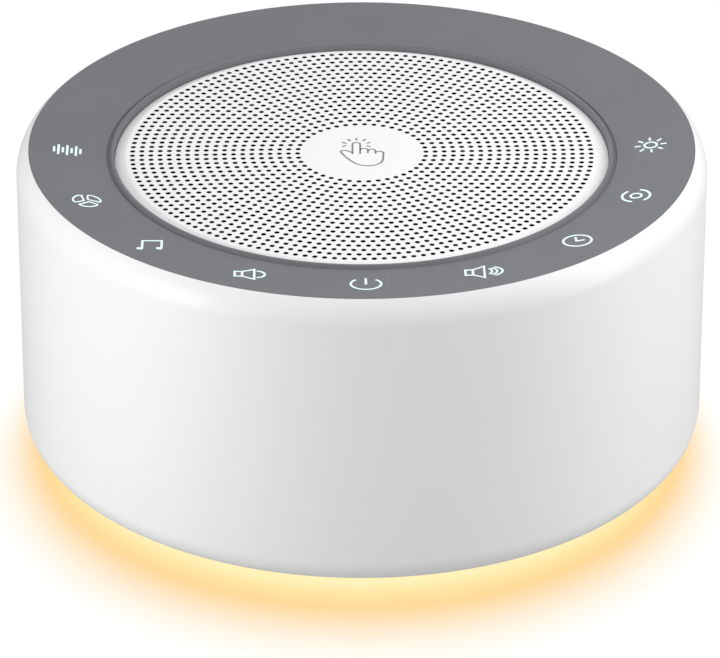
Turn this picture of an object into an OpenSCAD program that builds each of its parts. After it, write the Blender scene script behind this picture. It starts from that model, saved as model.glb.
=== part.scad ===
// White noise sound machine: a round drum with a touch panel, a drilled grille,
// a small loudspeaker facing up and a night light under the bottom edge.
// Z is up, the origin is the middle of the surface it stands on, the front is at -Y.

/* [Housing] */
// Outside diameter of the drum
body_d = 113; // [111:0.5:126]
// Height of the drum from its bottom edge to its rim
body_h = 51.15; // [50:0.25:66]
// Height of the drum's bottom edge over the table
stand_h = 2.6; // [2.4:0.1:4]
// Wall of the drum
wall_t = 2.2; // [1.8:0.1:2.6]
// Radius of the rounded top edge
rim_round = 5.6; // [5:0.1:6.5]
// Radius of the rounded bottom edge
foot_round = 4.9; // [4.5:0.1:6]
// Flat of the bottom edge between its round and its opening
bottom_land = 1.9; // [1.5:0.1:3]
// Width of the ledge that the touch panel sits on
ledge_w = 2.4; // [2:0.1:3]
// Thickness of that ledge
ledge_t = 2.2; // [1.6:0.1:2.6]

/* [Touch panel] */
// Inset of the panel's edge from the drum's side
panel_inset = 2.1; // [1.8:0.1:3]
// Width of the panel, from its edge to the well that the grille sits in
panel_w = 13.93; // [13.4:0.01:14.4]
// Thickness of the panel's edge
panel_edge_t = 1.8; // [1.4:0.1:2]
// Fall of the dished panel from its edge to its lip
panel_drop = 1.65; // [0.8:0.05:2]
// Thickness of the panel where it meets its lip
panel_t = 1.5; // [1.2:0.1:2]
// Width of the raised lip round the grille
lip_w = 1.03; // [0.9:0.01:1.4]
// Height of that lip
lip_h = 0.41; // [0.2:0.01:0.8]
// Wall of the well that the grille sits in
well_t = 1.2; // [1.1:0.1:1.6]
// Inset of the ring of symbols from the panel's edge
icon_inset = 6.7; // [5.8:0.1:7.4]
// Number of touch symbols
icon_count = 9; // [5:1:9]
// Angle from one symbol to the next
icon_step = 22.5; // [15:0.5:22.5]

/* [Grille] */
// Depth of the grille's face below the drum's rim
grille_sink = 1.9; // [1.7:0.1:2.4]
// Thickness of the grille's face
grille_t = 1.2; // [1:0.1:1.5]
// Radius of the grille's rounded edge
grille_round = 1.9; // [1:0.1:2]
// Thickness of the grille's skirt
skirt_t = 1.4; // [1:0.1:1.4]
// Height of the stiffening ribs under the grille
grille_rib_h = 0.9; // [0.5:0.1:1]
// Diameter of one hole
hole_d = 1; // [0.7:0.05:1.1]
// Distance from one ring of holes to the next
ring_pitch = 2; // [1.8:0.05:2]
// Number of the first ring, counted from the centre
first_ring = 5; // [5:1:9]
// Turn of the grille against the symbols, in degrees
grille_turn = 0.9; // [0:0.1:5]

/* [Boards] */
// Thickness of the touch board
touch_board_t = 1; // [0.8:0.1:1.2]
// Thickness of the tape that bonds it to the panel
tape_t = 0.2; // [0.1:0.05:0.3]
// Room for parts under the touch board
under_board = 1.1; // [1:0.1:1.4]
// Distance of the main board's edge from the posts
board_post_gap = 3.6; // [3:0.1:4.6]
// Thickness of the main board
main_board_t = 1.6; // [1.2:0.1:1.6]
// Width of the tongue that carries the supply socket
tongue_w = 22; // [18:1:24]
// Inset of the main board's screws from its edge
board_screw_inset = 4.7; // [4:0.1:5.5]
// Width of the night light board
light_board_w = 7; // [6:0.25:7]
// Thickness of the night light board
light_board_t = 1.2; // [0.8:0.1:1.2]
// Number of night light lamps
lamp_count = 16; // [8:1:20]

/* [Frame and base] */
// Thickness of the inner frame's plate
frame_t = 2; // [1.8:0.1:2.6]
// Diameter of a frame post
post_d = 7; // [6.5:0.1:7.4]
// Inset of the posts from the edge of the base plate
post_inset = 6.6; // [6.2:0.1:7]
// Thickness of the base plate
base_t = 2; // [2:0.1:2.4]
// Height of the base plate's underside over the table
base_gap = 1.2; // [0.8:0.1:1.4]
// Width of the night light ring's skirt
light_skirt_w = 2.6; // [2:0.1:3]
// Thickness of the night light ring's flange
light_flange_t = 1.6; // [1.4:0.1:2]
// Width of the night light ring's flange
light_flange_w = 16.8; // [16.4:0.1:17.2]
// Diameter of a rubber foot
foot_d = 11; // [9:0.5:12]
// Distance of a foot's middle from the edge of the base plate
foot_inset = 13.7; // [12.7:0.5:18.7]
// Depth of the recess that holds a foot
foot_recess = 0.8; // [0.5:0.1:1]

/* [Loudspeaker] */
// Diameter of the basket's flange
speaker_d = 57; // [56:0.5:60]
// Thickness of the basket's steel
basket_t = 0.8; // [0.6:0.1:1]
// Depth from the flange to the spider seat
seat_depth = 7.2; // [6.6:0.1:8]
// Radius of the spider seat
seat_r = 20; // [19.4:0.1:20.6]
// Depth of the short wall below the spider seat
throat_depth = 3.5; // [3:0.1:4.5]
// Thickness of the front plate
top_plate_t = 3.5; // [3:0.1:4]
// Diameter of the ring magnet
magnet_d = 45; // [42:0.5:45]
// Thickness of the ring magnet
magnet_t = 8; // [6:0.5:9]
// Thickness of the yoke's back plate
yoke_t = 3.5; // [3:0.1:4]
// Outside radius of the pole piece
pole_r = 9.55; // [9:0.05:9.6]
// Thickness of the coil former
former_t = 0.3; // [0.2:0.05:0.35]
// Thickness of the winding on it
winding_t = 0.3; // [0.2:0.05:0.35]
// Height of the winding
winding_h = 5; // [4:0.1:5.5]
// Running gap on each side of the coil
coil_gap = 0.35; // [0.3:0.01:0.4]
// Width of the surround's open part, from the cone's edge to the flange
surround_w = 2.6; // [2.2:0.1:3]
// Thickness of the cone paper
cone_t = 0.45; // [0.35:0.05:0.6]
// Depth of the cone
cone_depth = 5.6; // [4.5:0.1:5.8]
// Thickness of the surround's rubber
surround_t = 0.35; // [0.3:0.05:0.4]
// Thickness of the foam gasket
gasket_t = 0.9; // [0.6:0.1:1.2]

/* [Supply inlet] */
// Width of the supply socket
port_w = 8.9; // [8.4:0.1:9.2]
// Height of the supply socket
port_h = 3.2; // [3:0.1:3.3]
// Depth of the supply socket
port_l = 7.3; // [6.5:0.1:8]
// Setback of the socket's mouth from the drum's side
port_setback = 1; // [0.8:0.1:1.2]
// Margin of the finger recess round the socket
recess_margin = 1.6; // [1:0.1:2]
// Depth of that recess
recess_depth = 0.9; // [0.5:0.1:1.1]

/* [Screws] */
// Diameter of the base screws' threads
base_screw_d = 2.6; // [2.2:0.1:2.8]
// Depth of the base screws' threads in the posts
base_screw_l = 11; // [8:0.5:14]
// Diameter of the small screws' threads
small_screw_d = 2; // [1.8:0.1:2.2]
// Ratio of a screw's head to its thread
head_ratio = 1.9; // [1.7:0.1:2]
// Height of a screw's head
head_h = 1.3; // [1.1:0.1:1.4]

/* [Hidden] */

$fn = 96;
fit = 0.2;          // gap between two moulded pieces that slip together
screw_fit = 0.1;    // how much wider a screw's hole is than its thread
over = 1;           // how far a cut runs past the face that it opens
bite = 0.2;         // how far a boss or rib runs into the wall that carries it

// Radii of the drum and of what sits in its bottom opening
body_r = body_d / 2;
opening_r = body_r - foot_round - bottom_land;
light_r = opening_r - fit;
light_inner_r = light_r - light_skirt_w;
base_r = light_inner_r - fit;
post_r = base_r - post_inset;
light_flange_r = body_r - foot_round - fit;
light_bore_r = light_flange_r - light_flange_w;
light_board_r = light_flange_r - fit;
light_board_inner_r = light_board_r - light_board_w;
lamp_r = light_inner_r + light_skirt_w / 2;
foot_ring_r = base_r - foot_inset;
main_board_r = post_r - post_d / 2 - board_post_gap;
board_screw_xy = (main_board_r - board_screw_inset) / sqrt(2);

// Heights from the table up to the night light's board
base_top = base_gap + base_t;
lip_top = stand_h + wall_t;
light_top = lip_top + light_flange_t;
light_boss_h = 0.9;
light_board_z = light_top + light_boss_h;
board_boss_h = 5.2;
boss_margin = 0.5;
head_sink = 0.1;    // how far a base screw's head lies below the base's underside
board_z = lip_top + board_boss_h;
board_top = board_z + main_board_t;
board_screw_l = 5;
board_corners = [for (x = [-1, 1], y = [-1, 1]) [x * board_screw_xy, y * board_screw_xy, 0]];

// Heights from the rim down to the underside of the frame
rim_z = stand_h + body_h;
rim_centre_r = body_r - rim_round;
panel_r = body_r - panel_inset;
rim_centre_z = rim_z - sqrt(pow(rim_round, 2) - pow(panel_r - rim_centre_r, 2));
ledge_z = rim_z - panel_edge_t;
ledge_r = panel_r - ledge_w;
ledge_bottom = ledge_z - ledge_t;
grille_z = rim_z - grille_sink;
lip_base_z = rim_z - panel_drop;
panel_bottom = lip_base_z - panel_t;
touch_board_z = panel_bottom - tape_t - touch_board_t;
frame_top = touch_board_z - under_board;
frame_bottom = frame_top - frame_t;

// Radii of the panel, the grille and the ring board between them
grille_gap = 0.12;
well_r = panel_r - panel_w;
grille_r = well_r - grille_gap;
well_outer_r = well_r + well_t;
lip_outer_r = well_r + lip_w;
icon_r = panel_r - icon_inset;
panel_seat_r = ledge_r - fit;
hook_t = 0.9;
hook_w = 8;
hook_grip = 0.7;
hook_gap = 0.15;
touch_board_r = panel_seat_r - hook_t - fit;
touch_board_inner_r = well_outer_r + 2 * fit;
boss_r = (touch_board_r + touch_board_inner_r) / 2;
boss_d = 4.4;
boss_angles = [33.75, 146.25, 213.75, 326.25];
frame_r = ledge_r - 2 * fit;
grille_inner_r = grille_r - skirt_t;
back = 90;          // the angle of the back, where the supply socket is
edge = 0.15;        // the small bevel on the panel's edges
hook_angles = [0:60:300];
icon_angles = [for (i = [0:icon_count - 1]) 270 + (i - (icon_count - 1) / 2) * icon_step];
light_hole_d = 2;
last_ring = floor((grille_inner_r - fit - hole_d / 2) / ring_pitch);
grille_rib_step = 3;
grille_rib_t = 0.7 * (ring_pitch - hole_d);
grille_under_z = grille_z - grille_t;
cloth_z = grille_under_z - grille_rib_h;

// Loudspeaker, measured down from the frame
gasket_z = frame_bottom - gasket_t;
flange_top = gasket_z - surround_t;
flange_z = flange_top - basket_t;
speaker_r = speaker_d / 2;
flange_w = 3.3;
flange_inner_r = speaker_r - flange_w;
cone_r = flange_inner_r - surround_w;
frame_bore_r = flange_inner_r + 1;
rib_t = 1.2;
rib_h = 3;
seat_z = flange_z - seat_depth + basket_t;
seat_w = 2.2;
throat_z = seat_z - throat_depth;
top_plate_z = throat_z - top_plate_t;
magnet_z = top_plate_z - magnet_t;
yoke_z = magnet_z - yoke_t;
former_r = pole_r + coil_gap;
winding_r = former_r + former_t;
coil_r = winding_r + winding_t;
gap_r = coil_r + coil_gap;
winding_z = top_plate_z + top_plate_t / 2 - winding_h / 2;
former_z = winding_z - 0.4;
cone_edge_z = flange_top - 0.1;
neck_z = cone_edge_z - cone_depth;
former_top = neck_z + cone_t;
cap_base_r = winding_r + 1.3;
cap_h = 3;
cap_t = 0.4;
spider_t = 0.35;
spider_wave = 0.55;
rubber_r = speaker_r - 0.4;
speaker_screw_l = 2.6;
ear_r = speaker_r + 2.6;
ear_d = 5.6;
diagonals = [45, 135, 225, 315];
ear_angles = [for (a = diagonals) a - 22.5];    // clear of the posts and of the terminals
window_w = 0.8 * seat_r;
terminal_w = 9;

// Supply socket
port_z = board_top;
port_y = body_r - port_setback - port_l;
tongue_y = sqrt(pow(body_r - wall_t, 2) - pow(tongue_w / 2, 2)) - 2 * fit;

// Cables: round numbers, chosen so that each runs clear of what it passes
tail_w = 3;
tail_lap = 2;
foil_t = 0.25;
cloth_t = 0.3;
pad_r = (first_ring - 0.5) * ring_pitch - grille_rib_t / 2 - fit;
cloth_bore_r = pad_r - fit;
ribbon_w = 11;
ribbon_t = 0.3;
ribbon_angle = 112;
ribbon_r = boss_r;
ribbon_slot_w = 2;
ribbon_socket_r = main_board_r - 8;
ribbon_socket_l = 4;
ribbon_socket_h = 2.6;
ribbon_z = board_top + 1.6;
bend_r = 3;
lead_d = 1.1;
lead_pitch = 2.6;
terminal_y = speaker_r + 3.2;
socket_h = 5;
socket_l = 6;
socket_w = 8;
speaker_socket_x = 8;
speaker_socket_y = main_board_r - 8;
light_socket_x = main_board_r - 5.5;
light_socket_y = -4;
light_lead_pitch = 1.6;
light_lead_inset = 2.5;

// Small parts on the boards: chips as [x, y, length, width, height]
chips = [
    [-4, -6, 9, 9, 1.4],
    [12, -14, 5, 6, 1.4],
    [12, 6, 5, 4, 1.4],
    [-14, 8, 4.4, 4.4, 1]
];
capacitor_x = main_board_r - 4.5;
capacitor_pitch = 8;
capacitor_d = 5;
capacitor_h = 6.2;
icon_led_w = 1.6;
icon_led_l = 3.2;
icon_led_h = 0.8;
touch_chip_w = 4;
night_led_w = 2.8;
night_led_l = 3.5;
night_led_h = 0.7;

// Stakes that hold the night light's board, set between its lamps
stake_d = 1.6;
stake_r = light_board_inner_r + stake_d;
lamp_step = 360 / lamp_count;
lamp_angles = [for (i = [0:lamp_count - 1]) (i + 0.5) * lamp_step];
stake_angles = [for (i = [0:2:lamp_count - 1]) i * lamp_step];

/* Helpers */

// A rectangle in the half section, from radius a to b and height c to d
module band(a, b, c, d) translate([a, c]) square([b - a, d - c]);

// A quarter round in the half section, centred at (a, c)
module quarter(a, c, r) intersection() {
    translate([a, c]) circle(r);
    band(a, a + r, c, c + r);
}

module ring(a, b, c, d) rotate_extrude() band(a, b, c, d);

module disc(r, z, h) translate([0, 0, z]) cylinder(r = r, h = h);

module around(angles, r) for (a = angles) rotate(a) translate([r, 0, 0]) children();

// A block of a given size that stands on height z, or hangs from it
module stand_block(size, z) translate([-size[0] / 2, -size[1] / 2, z]) cube(size);
module hang_block(size, z) stand_block(size, z - size[2]);

module slot_shape(w, h) {
    square([w - h, h], center = true);
    for (side = [-1, 1]) translate([side * (w - h) / 2, 0]) circle(h / 2);
}

// Screw with its head down, its thread running up from z = 0
module screw_up(d, l) {
    cylinder(d = d, h = l);
    translate([0, 0, -head_h]) difference() {
        cylinder(d = d * head_ratio, h = head_h);
        translate([0, 0, -over]) cross_recess(d, over + head_h / 2);
    }
}

module cross_recess(d, h) linear_extrude(h) for (a = [0, 90])
    rotate(a) square([d * 1.1, d * 0.28], center = true);

module screw_down(d, l) rotate([180, 0, 0]) screw_up(d, l);

// Round wire along points, swept as one solid with eight sides. It bends about the axis
// that is given, and never runs along it.
wire_sides = 8;
function unit(v) = v / norm(v);
function heading(p, i) = unit(p[min(i + 1, len(p) - 1)] - p[max(i - 1, 0)]);
function wire_ring(c, t, axis, r) = [for (k = [0:wire_sides - 1])
    let (u = unit(cross(t, axis)), v = cross(t, u), a = 360 * k / wire_sides)
    c + r * (u * cos(a) + v * sin(a))];
module wire(p, axis, d) {
    n = wire_sides;
    points = [for (i = [0:len(p) - 1]) each wire_ring(p[i], heading(p, i), axis, d / 2)];
    last = n * (len(p) - 1);
    sides = [for (i = [0:len(p) - 2], k = [0:n - 1])
        [n * i + k, n * i + n + k, n * i + n + (k + 1) % n, n * i + (k + 1) % n]];
    ends = [[for (k = [0:n - 1]) k], [for (k = [0:n - 1]) last + n - 1 - k]];
    polyhedron(points, concat(sides, ends));
}

// Smooth curve between a and b that leaves along va and arrives along vb
function curve(a, va, b, vb, n) = [for (i = [0:n]) let (t = i / n, s = 1 - t)
    s * s * s * a + 3 * s * s * t * (a + va) + 3 * s * t * t * (b - vb) + t * t * t * b];

/* Outer pieces */

// The drum's outline, drawn in by a given distance
module drum_outline(in) {
    r = body_r - in;
    low = foot_round - in;
    high = rim_round - in;
    band(0, r, stand_h + foot_round, rim_centre_z);
    band(0, r - low, stand_h + in, stand_h + foot_round);
    translate([r - low, stand_h + foot_round]) circle(low);
    band(0, r - high, rim_centre_z, rim_centre_z + high);
    translate([r - high, rim_centre_z]) circle(high);
}

module drum_section() difference() {
    union() {
        difference() {
            drum_outline(0);
            drum_outline(wall_t);
            band(-over, opening_r, stand_h - over, lip_top + over);
        }
        band(ledge_r, panel_r - fit, ledge_bottom, ledge_z);
    }
    band(-over, panel_r + fit / 2, ledge_z, rim_z + rim_round);
    band(-over, body_r, rim_z, rim_z + rim_round);
}

module outer_housing() color("white") difference() {
    rotate_extrude() drum_section();
    translate([0, body_r + over, port_z + port_h / 2]) rotate([90, 0, 0])
        linear_extrude(2 * over + wall_t) slot_shape(port_w + 2 * fit, port_h + 2 * fit);
    translate([0, body_r + over, port_z + port_h / 2]) rotate([90, 0, 0])
        linear_extrude(over + recess_depth)
            slot_shape(port_w + 2 * recess_margin, port_h + 2 * recess_margin);
}

module panel_section() polygon([
    [well_r, frame_top],
    [well_r, lip_base_z + lip_h - edge],
    [well_r + edge, lip_base_z + lip_h],
    [well_r + lip_w / 2, lip_base_z + lip_h],
    [lip_outer_r, lip_base_z],
    [panel_r - edge, rim_z],
    [panel_r, rim_z - edge],
    [panel_r, ledge_z],
    [panel_seat_r, ledge_z],
    [panel_seat_r, panel_bottom],
    [well_outer_r, panel_bottom],
    [well_outer_r, frame_top]
]);

// A snap hook that grips under the drum's ledge
module panel_hook() {
    nose_top = ledge_bottom - hook_gap;
    nose_bottom = nose_top - hook_t;
    rotate([90, 0, 0]) translate([0, 0, -hook_w / 2]) linear_extrude(hook_w) polygon([
        [panel_seat_r - hook_t, panel_bottom + panel_t / 2],
        [panel_seat_r - hook_t, nose_bottom],
        [panel_seat_r, nose_bottom],
        [panel_seat_r + hook_grip, nose_top],
        [panel_seat_r - edge, nose_top],
        [panel_seat_r - edge, panel_bottom + panel_t / 2]
    ]);
}

module touch_panel() color("dimgray") difference() {
    union() {
        rotate_extrude() panel_section();
        for (a = hook_angles) rotate(a) panel_hook();
        around(boss_angles, boss_r)
            disc(boss_d / 2, frame_top, panel_bottom - frame_top + bite);
    }
    around(boss_angles, boss_r) translate([0, 0, frame_top - over])
        cylinder(d = small_screw_d + screw_fit, h = under_board + touch_board_t + tape_t + over);
    rotate(back) translate([well_r - over, -tail_w / 2 - fit, frame_top - over])
        cube([well_t + 2 * over, tail_w + 2 * fit, over + 3 * foil_t]);
}

module ring_board_holes(z, h) {
    around(boss_angles, boss_r) translate([0, 0, z - over])
        cylinder(d = boss_d + 2 * fit, h = h + 2 * over);
    around(icon_angles, icon_r) translate([0, 0, z - over])
        cylinder(d = light_hole_d, h = h + 2 * over);
}

module panel_tape() color("gray") difference() {
    ring(touch_board_inner_r, touch_board_r, touch_board_z + touch_board_t, panel_bottom);
    ring_board_holes(touch_board_z + touch_board_t, tape_t);
}

module touch_board() color("darkgreen") difference() {
    ring(touch_board_inner_r, touch_board_r, touch_board_z, touch_board_z + touch_board_t);
    ring_board_holes(touch_board_z, touch_board_t);
}

module icon_leds() color("ivory") around(icon_angles, icon_r)
    hang_block([icon_led_w, icon_led_l, icon_led_h], touch_board_z);

module touch_chip() color("black") around([back - 30], boss_r)
    hang_block([touch_chip_w, touch_chip_w, icon_led_h], touch_board_z);

/* Grille */

module grille_section() {
    skirt_r = grille_r - grille_round;
    difference() {
        union() {
            band(0, skirt_r, frame_top, grille_z);
            band(0, grille_r, frame_top, grille_z - grille_round);
            quarter(skirt_r, grille_z - grille_round, grille_round);
        }
        band(-over, grille_inner_r, frame_top - over, grille_under_z);
    }
    // ribs between the rings of holes, from inside the first ring to outside the last but one
    for (k = [first_ring - 1:grille_rib_step:last_ring - 1]) let (r = (k + 0.5) * ring_pitch)
        band(r - grille_rib_t / 2, r + grille_rib_t / 2, cloth_z, grille_under_z + bite);
}

// Ring number k has six holes for each step outwards, so the holes keep one spacing
module grille_holes() for (k = [first_ring:last_ring], i = [0:6 * k - 1])
    rotate(grille_turn + i * 60 / k) translate([k * ring_pitch, 0, grille_under_z - over])
        cylinder(d = hole_d, h = grille_t + 2 * over, $fn = 16);

module speaker_grille() color("white") difference() {
    rotate_extrude() grille_section();
    grille_holes();
    rotate(back) translate([grille_inner_r - over, -tail_w / 2 - fit, frame_top - over])
        cube([skirt_t + 2 * over, tail_w + 2 * fit, over + 3 * foil_t]);
}

// The cloth is bonded to the grille's ribs
module grille_cloth() color("black")
    ring(cloth_bore_r, grille_inner_r - fit - foil_t, cloth_z - cloth_t, cloth_z);

// Foil disc behind the blank centre, with a tail that dips under the skirt to the board
module centre_touch_pad() color("orange") {
    low = frame_top + foil_t / 2;
    pad_z = grille_under_z - foil_t;
    tail_z = cloth_z - cloth_t - foil_t;
    fold_r = cloth_bore_r - 2 * foil_t;
    drop_r = grille_inner_r - fit / 2 - foil_t;
    rise_r = well_outer_r + 2 * foil_t;
    disc(pad_r, pad_z, foil_t);
    rotate([90, 0, back]) translate([0, 0, -tail_w / 2]) linear_extrude(tail_w) {
        band(fold_r - foil_t, fold_r, tail_z, pad_z + foil_t / 2);
        band(fold_r - foil_t, drop_r + foil_t, tail_z, tail_z + foil_t);
        band(drop_r, drop_r + foil_t, low, tail_z + foil_t);
        band(drop_r, rise_r + foil_t, low, low + foil_t);
        band(rise_r, rise_r + foil_t, low, touch_board_z);
        band(rise_r, touch_board_inner_r + tail_lap, touch_board_z - foil_t, touch_board_z);
    }
}

/* Frame */

module inner_frame() color("gainsboro") difference() {
    union() {
        ring(frame_bore_r, frame_r, frame_bottom, frame_top);
        ring(post_r, post_r + rib_t, frame_bottom - rib_h, frame_bottom + bite);
        around(diagonals, post_r) disc(post_d / 2, light_top, frame_bottom - light_top + bite);
        around(ear_angles, ear_r) disc(ear_d / 2, flange_top, frame_bottom - flange_top + bite);
    }
    around(diagonals, post_r) translate([0, 0, light_top - over])
        cylinder(d = base_screw_d + screw_fit, h = base_screw_l + over);
    around(ear_angles, ear_r) translate([0, 0, flange_top - over])
        cylinder(d = small_screw_d + screw_fit, h = over + speaker_screw_l);
    around(boss_angles, boss_r) translate([0, 0, frame_bottom - over])
        cylinder(d = small_screw_d + 2 * screw_fit, h = frame_t + 2 * over);
    rotate(ribbon_angle) translate([ribbon_r - ribbon_slot_w / 2, -ribbon_w / 2 - fit, frame_bottom - over])
        cube([ribbon_slot_w, ribbon_w + 2 * fit, frame_t + 2 * over]);
}

module frame_screws() color("silver") around(boss_angles, boss_r)
    translate([0, 0, frame_bottom]) screw_up(small_screw_d, frame_t + under_board + 1);

/* Loudspeaker */

module speaker_gasket() color("dimgray")
    ring(frame_bore_r, rubber_r, gasket_z, frame_bottom);

module basket_section() {
    t = basket_t;
    polygon([
        [flange_inner_r, flange_top],
        [speaker_r, flange_top],
        [speaker_r, flange_z],
        [flange_inner_r + t, flange_z],
        [seat_r + t, seat_z - t],
        [seat_r - seat_w, seat_z - t],
        [seat_r - seat_w, throat_z],
        [gap_r + 1.5, throat_z],
        [gap_r + 1.5, throat_z + t],
        [seat_r - seat_w - t, throat_z + t],
        [seat_r - seat_w - t, seat_z],
        [seat_r, seat_z],
        [flange_inner_r, flange_z]
    ]);
}

module speaker_basket() color("slategray") difference() {
    union() {
        rotate_extrude() basket_section();
        around(ear_angles, ear_r) disc(ear_d / 2, flange_z, basket_t);
        for (a = ear_angles) rotate(a) translate([speaker_r - 1, -ear_d / 2, flange_z])
            cube([ear_r - speaker_r + 1, ear_d, basket_t]);
    }
    around(ear_angles, ear_r) translate([0, 0, flange_z - over])
        cylinder(d = small_screw_d + 2 * screw_fit, h = basket_t + 2 * over);
    // four windows between the legs let the air behind the cone out
    window_h = seat_depth - 3 * basket_t;
    for (a = diagonals) rotate(a) translate([seat_r - 2, -window_w / 2, seat_z + basket_t / 2])
        cube([flange_inner_r - seat_r + 6, window_w, window_h]);
}

module speaker_screws() color("silver") around(ear_angles, ear_r)
    translate([0, 0, flange_z]) screw_up(small_screw_d, basket_t + speaker_screw_l - fit);

module speaker_top_plate() color("silver")
    ring(gap_r, magnet_d / 2 - 2, top_plate_z, throat_z);

module speaker_magnet() color("#303030")
    ring(gap_r + 2, magnet_d / 2, magnet_z, top_plate_z);

module speaker_yoke() color("silver") rotate_extrude() polygon([
    [0, yoke_z],
    [magnet_d / 2 - 1.6, yoke_z],
    [magnet_d / 2 - 1.5, magnet_z],
    [pole_r + 0.6, magnet_z],
    [pole_r, magnet_z + 0.6],
    [pole_r, throat_z],
    [pole_r - 0.4, throat_z + 0.4],
    [0, throat_z + 0.4]
]);

// Height of the cone paper's upper side at radius r: a shallow curve that steepens inwards
function cone_height(r) = let (u = (r - winding_r) / (cone_r - winding_r))
    neck_z + cone_depth * (1.25 * u - 0.25 * u * u);
cone_steps = 10;

module speaker_cone() color("#404040") rotate_extrude() {
    radii = [for (i = [0:cone_steps]) winding_r + (cone_r - winding_r) * i / cone_steps];
    upper = [for (r = radii) [r, cone_height(r)]];
    lower = [for (i = [cone_steps:-1:0]) [radii[i], cone_height(radii[i]) - cone_t]];
    polygon(concat(upper, lower));
}

module dust_cap() color("#202020") {
    low = cone_height(cap_base_r) + 0.02;
    dome_r = (pow(cap_base_r, 2) + pow(cap_h, 2)) / (2 * cap_h);
    rotate_extrude() intersection() {
        translate([0, low + cap_h - dome_r]) difference() {
            circle(dome_r);
            circle(dome_r - cap_t);
        }
        band(0, cap_base_r + 1, low, low + cap_h + 1);
    }
}

module voice_coil() color("goldenrod") {
    ring(former_r, winding_r, former_z, former_top);
    ring(winding_r, coil_r, winding_z, winding_z + winding_h);
}

// Half roll between the cone's edge and the flange, with a flat lip on each side
module surround() color("#181818") {
    outer_r = flange_inner_r + 0.7;
    roll_r = (outer_r - cone_r) / 2;
    t = surround_t;
    rotate_extrude() {
        band(cone_r - 1.2, cone_r + t / 2, flange_top, flange_top + t);
        band(outer_r - t / 2, rubber_r, flange_top, flange_top + t);
        difference() {
            translate([cone_r + roll_r, flange_top]) circle(roll_r + t / 2);
            translate([cone_r + roll_r, flange_top]) circle(roll_r - t / 2);
            band(cone_r - t, outer_r + t, flange_top - 2 * roll_r, flange_top);
        }
    }
}

module spider() color("#c8a060") {
    inner_r = winding_r + 0.05;
    outer_r = seat_r - 0.2;
    waves = 3;
    steps = 36;
    z = seat_z + spider_t / 2;
    flat_w = seat_w + basket_t;
    run = outer_r - flat_w - inner_r;
    line = [for (i = [0:steps]) let (u = i / steps)
        [inner_r + run * u, z + spider_wave * sin(360 * waves * u)]];
    up = [for (p = line) [p[0], p[1] + spider_t / 2]];
    down = [for (i = [steps:-1:0]) [line[i][0], line[i][1] - spider_t / 2]];
    rotate_extrude() polygon(concat(up, [[outer_r, seat_z + spider_t], [outer_r, seat_z]], down));
}

module speaker_terminals() color("burlywood") rotate(back) {
    translate([flange_inner_r + basket_t + 0.1, -terminal_w / 2, flange_z - 1])
        cube([terminal_y - flange_inner_r - basket_t, terminal_w, 1]);
    for (side = [-1, 1]) translate([terminal_y - 1.5, side * lead_pitch - 0.9, flange_z - 1.5])
        cube([3, 1.8, 0.5]);
}

/* Boards and wiring */

module speaker_leads() color("firebrick") for (side = [-1, 1]) {
    top = [-side * lead_pitch, terminal_y + 0.6, flange_z - 1.5];
    low = [speaker_socket_x - side * lead_pitch / 2, speaker_socket_y, board_top + socket_h];
    drop = top[2] - low[2];
    wire(curve(top, [0, 0, -0.65 * drop], low, [0, 0, -0.32 * drop], 12), [1, 0, 0], lead_d);
}

module main_board() color("darkgreen") difference() {
    union() {
        disc(main_board_r, board_z, main_board_t);
        translate([-tongue_w / 2, 0, board_z]) cube([tongue_w, tongue_y, main_board_t]);
    }
    for (p = board_corners) translate(p) translate([0, 0, board_z - over])
        cylinder(d = small_screw_d + 2 * screw_fit, h = main_board_t + 2 * over);
}

module board_screws() color("silver") for (p = board_corners) translate(p)
    translate([0, 0, board_top]) screw_down(small_screw_d, board_screw_l);

module usb_c_port() color("silver") {
    wall = 0.35;
    translate([0, port_y + port_l, port_z + port_h / 2]) rotate([90, 0, 0]) difference() {
        linear_extrude(port_l) slot_shape(port_w, port_h);
        translate([0, 0, -over]) linear_extrude(port_l - wall + over)
            slot_shape(port_w - 2 * wall, port_h - 2 * wall);
    }
    translate([-3.3, port_y + wall / 2, port_z + port_h / 2 - 0.35]) cube([6.6, port_l - 1.2, 0.7]);
}

module board_chips() color("#181818") for (c = chips)
    translate([c[0], c[1], 0]) stand_block([c[2], c[3], c[4]], board_top);

module capacitors() color("silver") for (i = [-1:1])
    translate([-capacitor_x, i * capacitor_pitch, 0]) {
        disc(capacitor_d / 2, board_top, capacitor_h);
        disc(capacitor_d / 2 + 0.3, board_top, 0.8);
    }

module lead_sockets() color("ivory") {
    translate([speaker_socket_x, speaker_socket_y, 0])
        stand_block([socket_w, socket_l, socket_h], board_top);
    translate([light_socket_x, light_socket_y, 0])
        stand_block([socket_l, socket_w, socket_h], board_top);
}

module ribbon_socket() color("ivory") rotate(ribbon_angle) difference() {
    translate([ribbon_socket_r, 0, 0])
        stand_block([ribbon_socket_l, ribbon_w + 2 * rib_t, ribbon_socket_h], board_top);
    translate([ribbon_socket_r + over, 0, 0])
        stand_block([ribbon_socket_l, ribbon_w + 2 * fit, ribbon_t + 2 * fit], ribbon_z - fit);
}

// Ribbon from the touch board down past the frame, then in to its socket
module touch_ribbon() color("white") rotate([90, 0, ribbon_angle])
    translate([0, 0, -ribbon_w / 2]) linear_extrude(ribbon_w) {
        t = ribbon_t;
        bend_z = ribbon_z + bend_r + t;
        band(ribbon_r, ribbon_r + t, bend_z, touch_board_z);
        translate([ribbon_r - bend_r, bend_z]) intersection() {
            difference() {
                circle(bend_r + t);
                circle(bend_r);
            }
            translate([0, -bend_r - t]) square([bend_r + t, bend_r + t]);
        }
        band(ribbon_socket_r, ribbon_r - bend_r, ribbon_z, ribbon_z + t);
    }

/* Night light and base */

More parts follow.
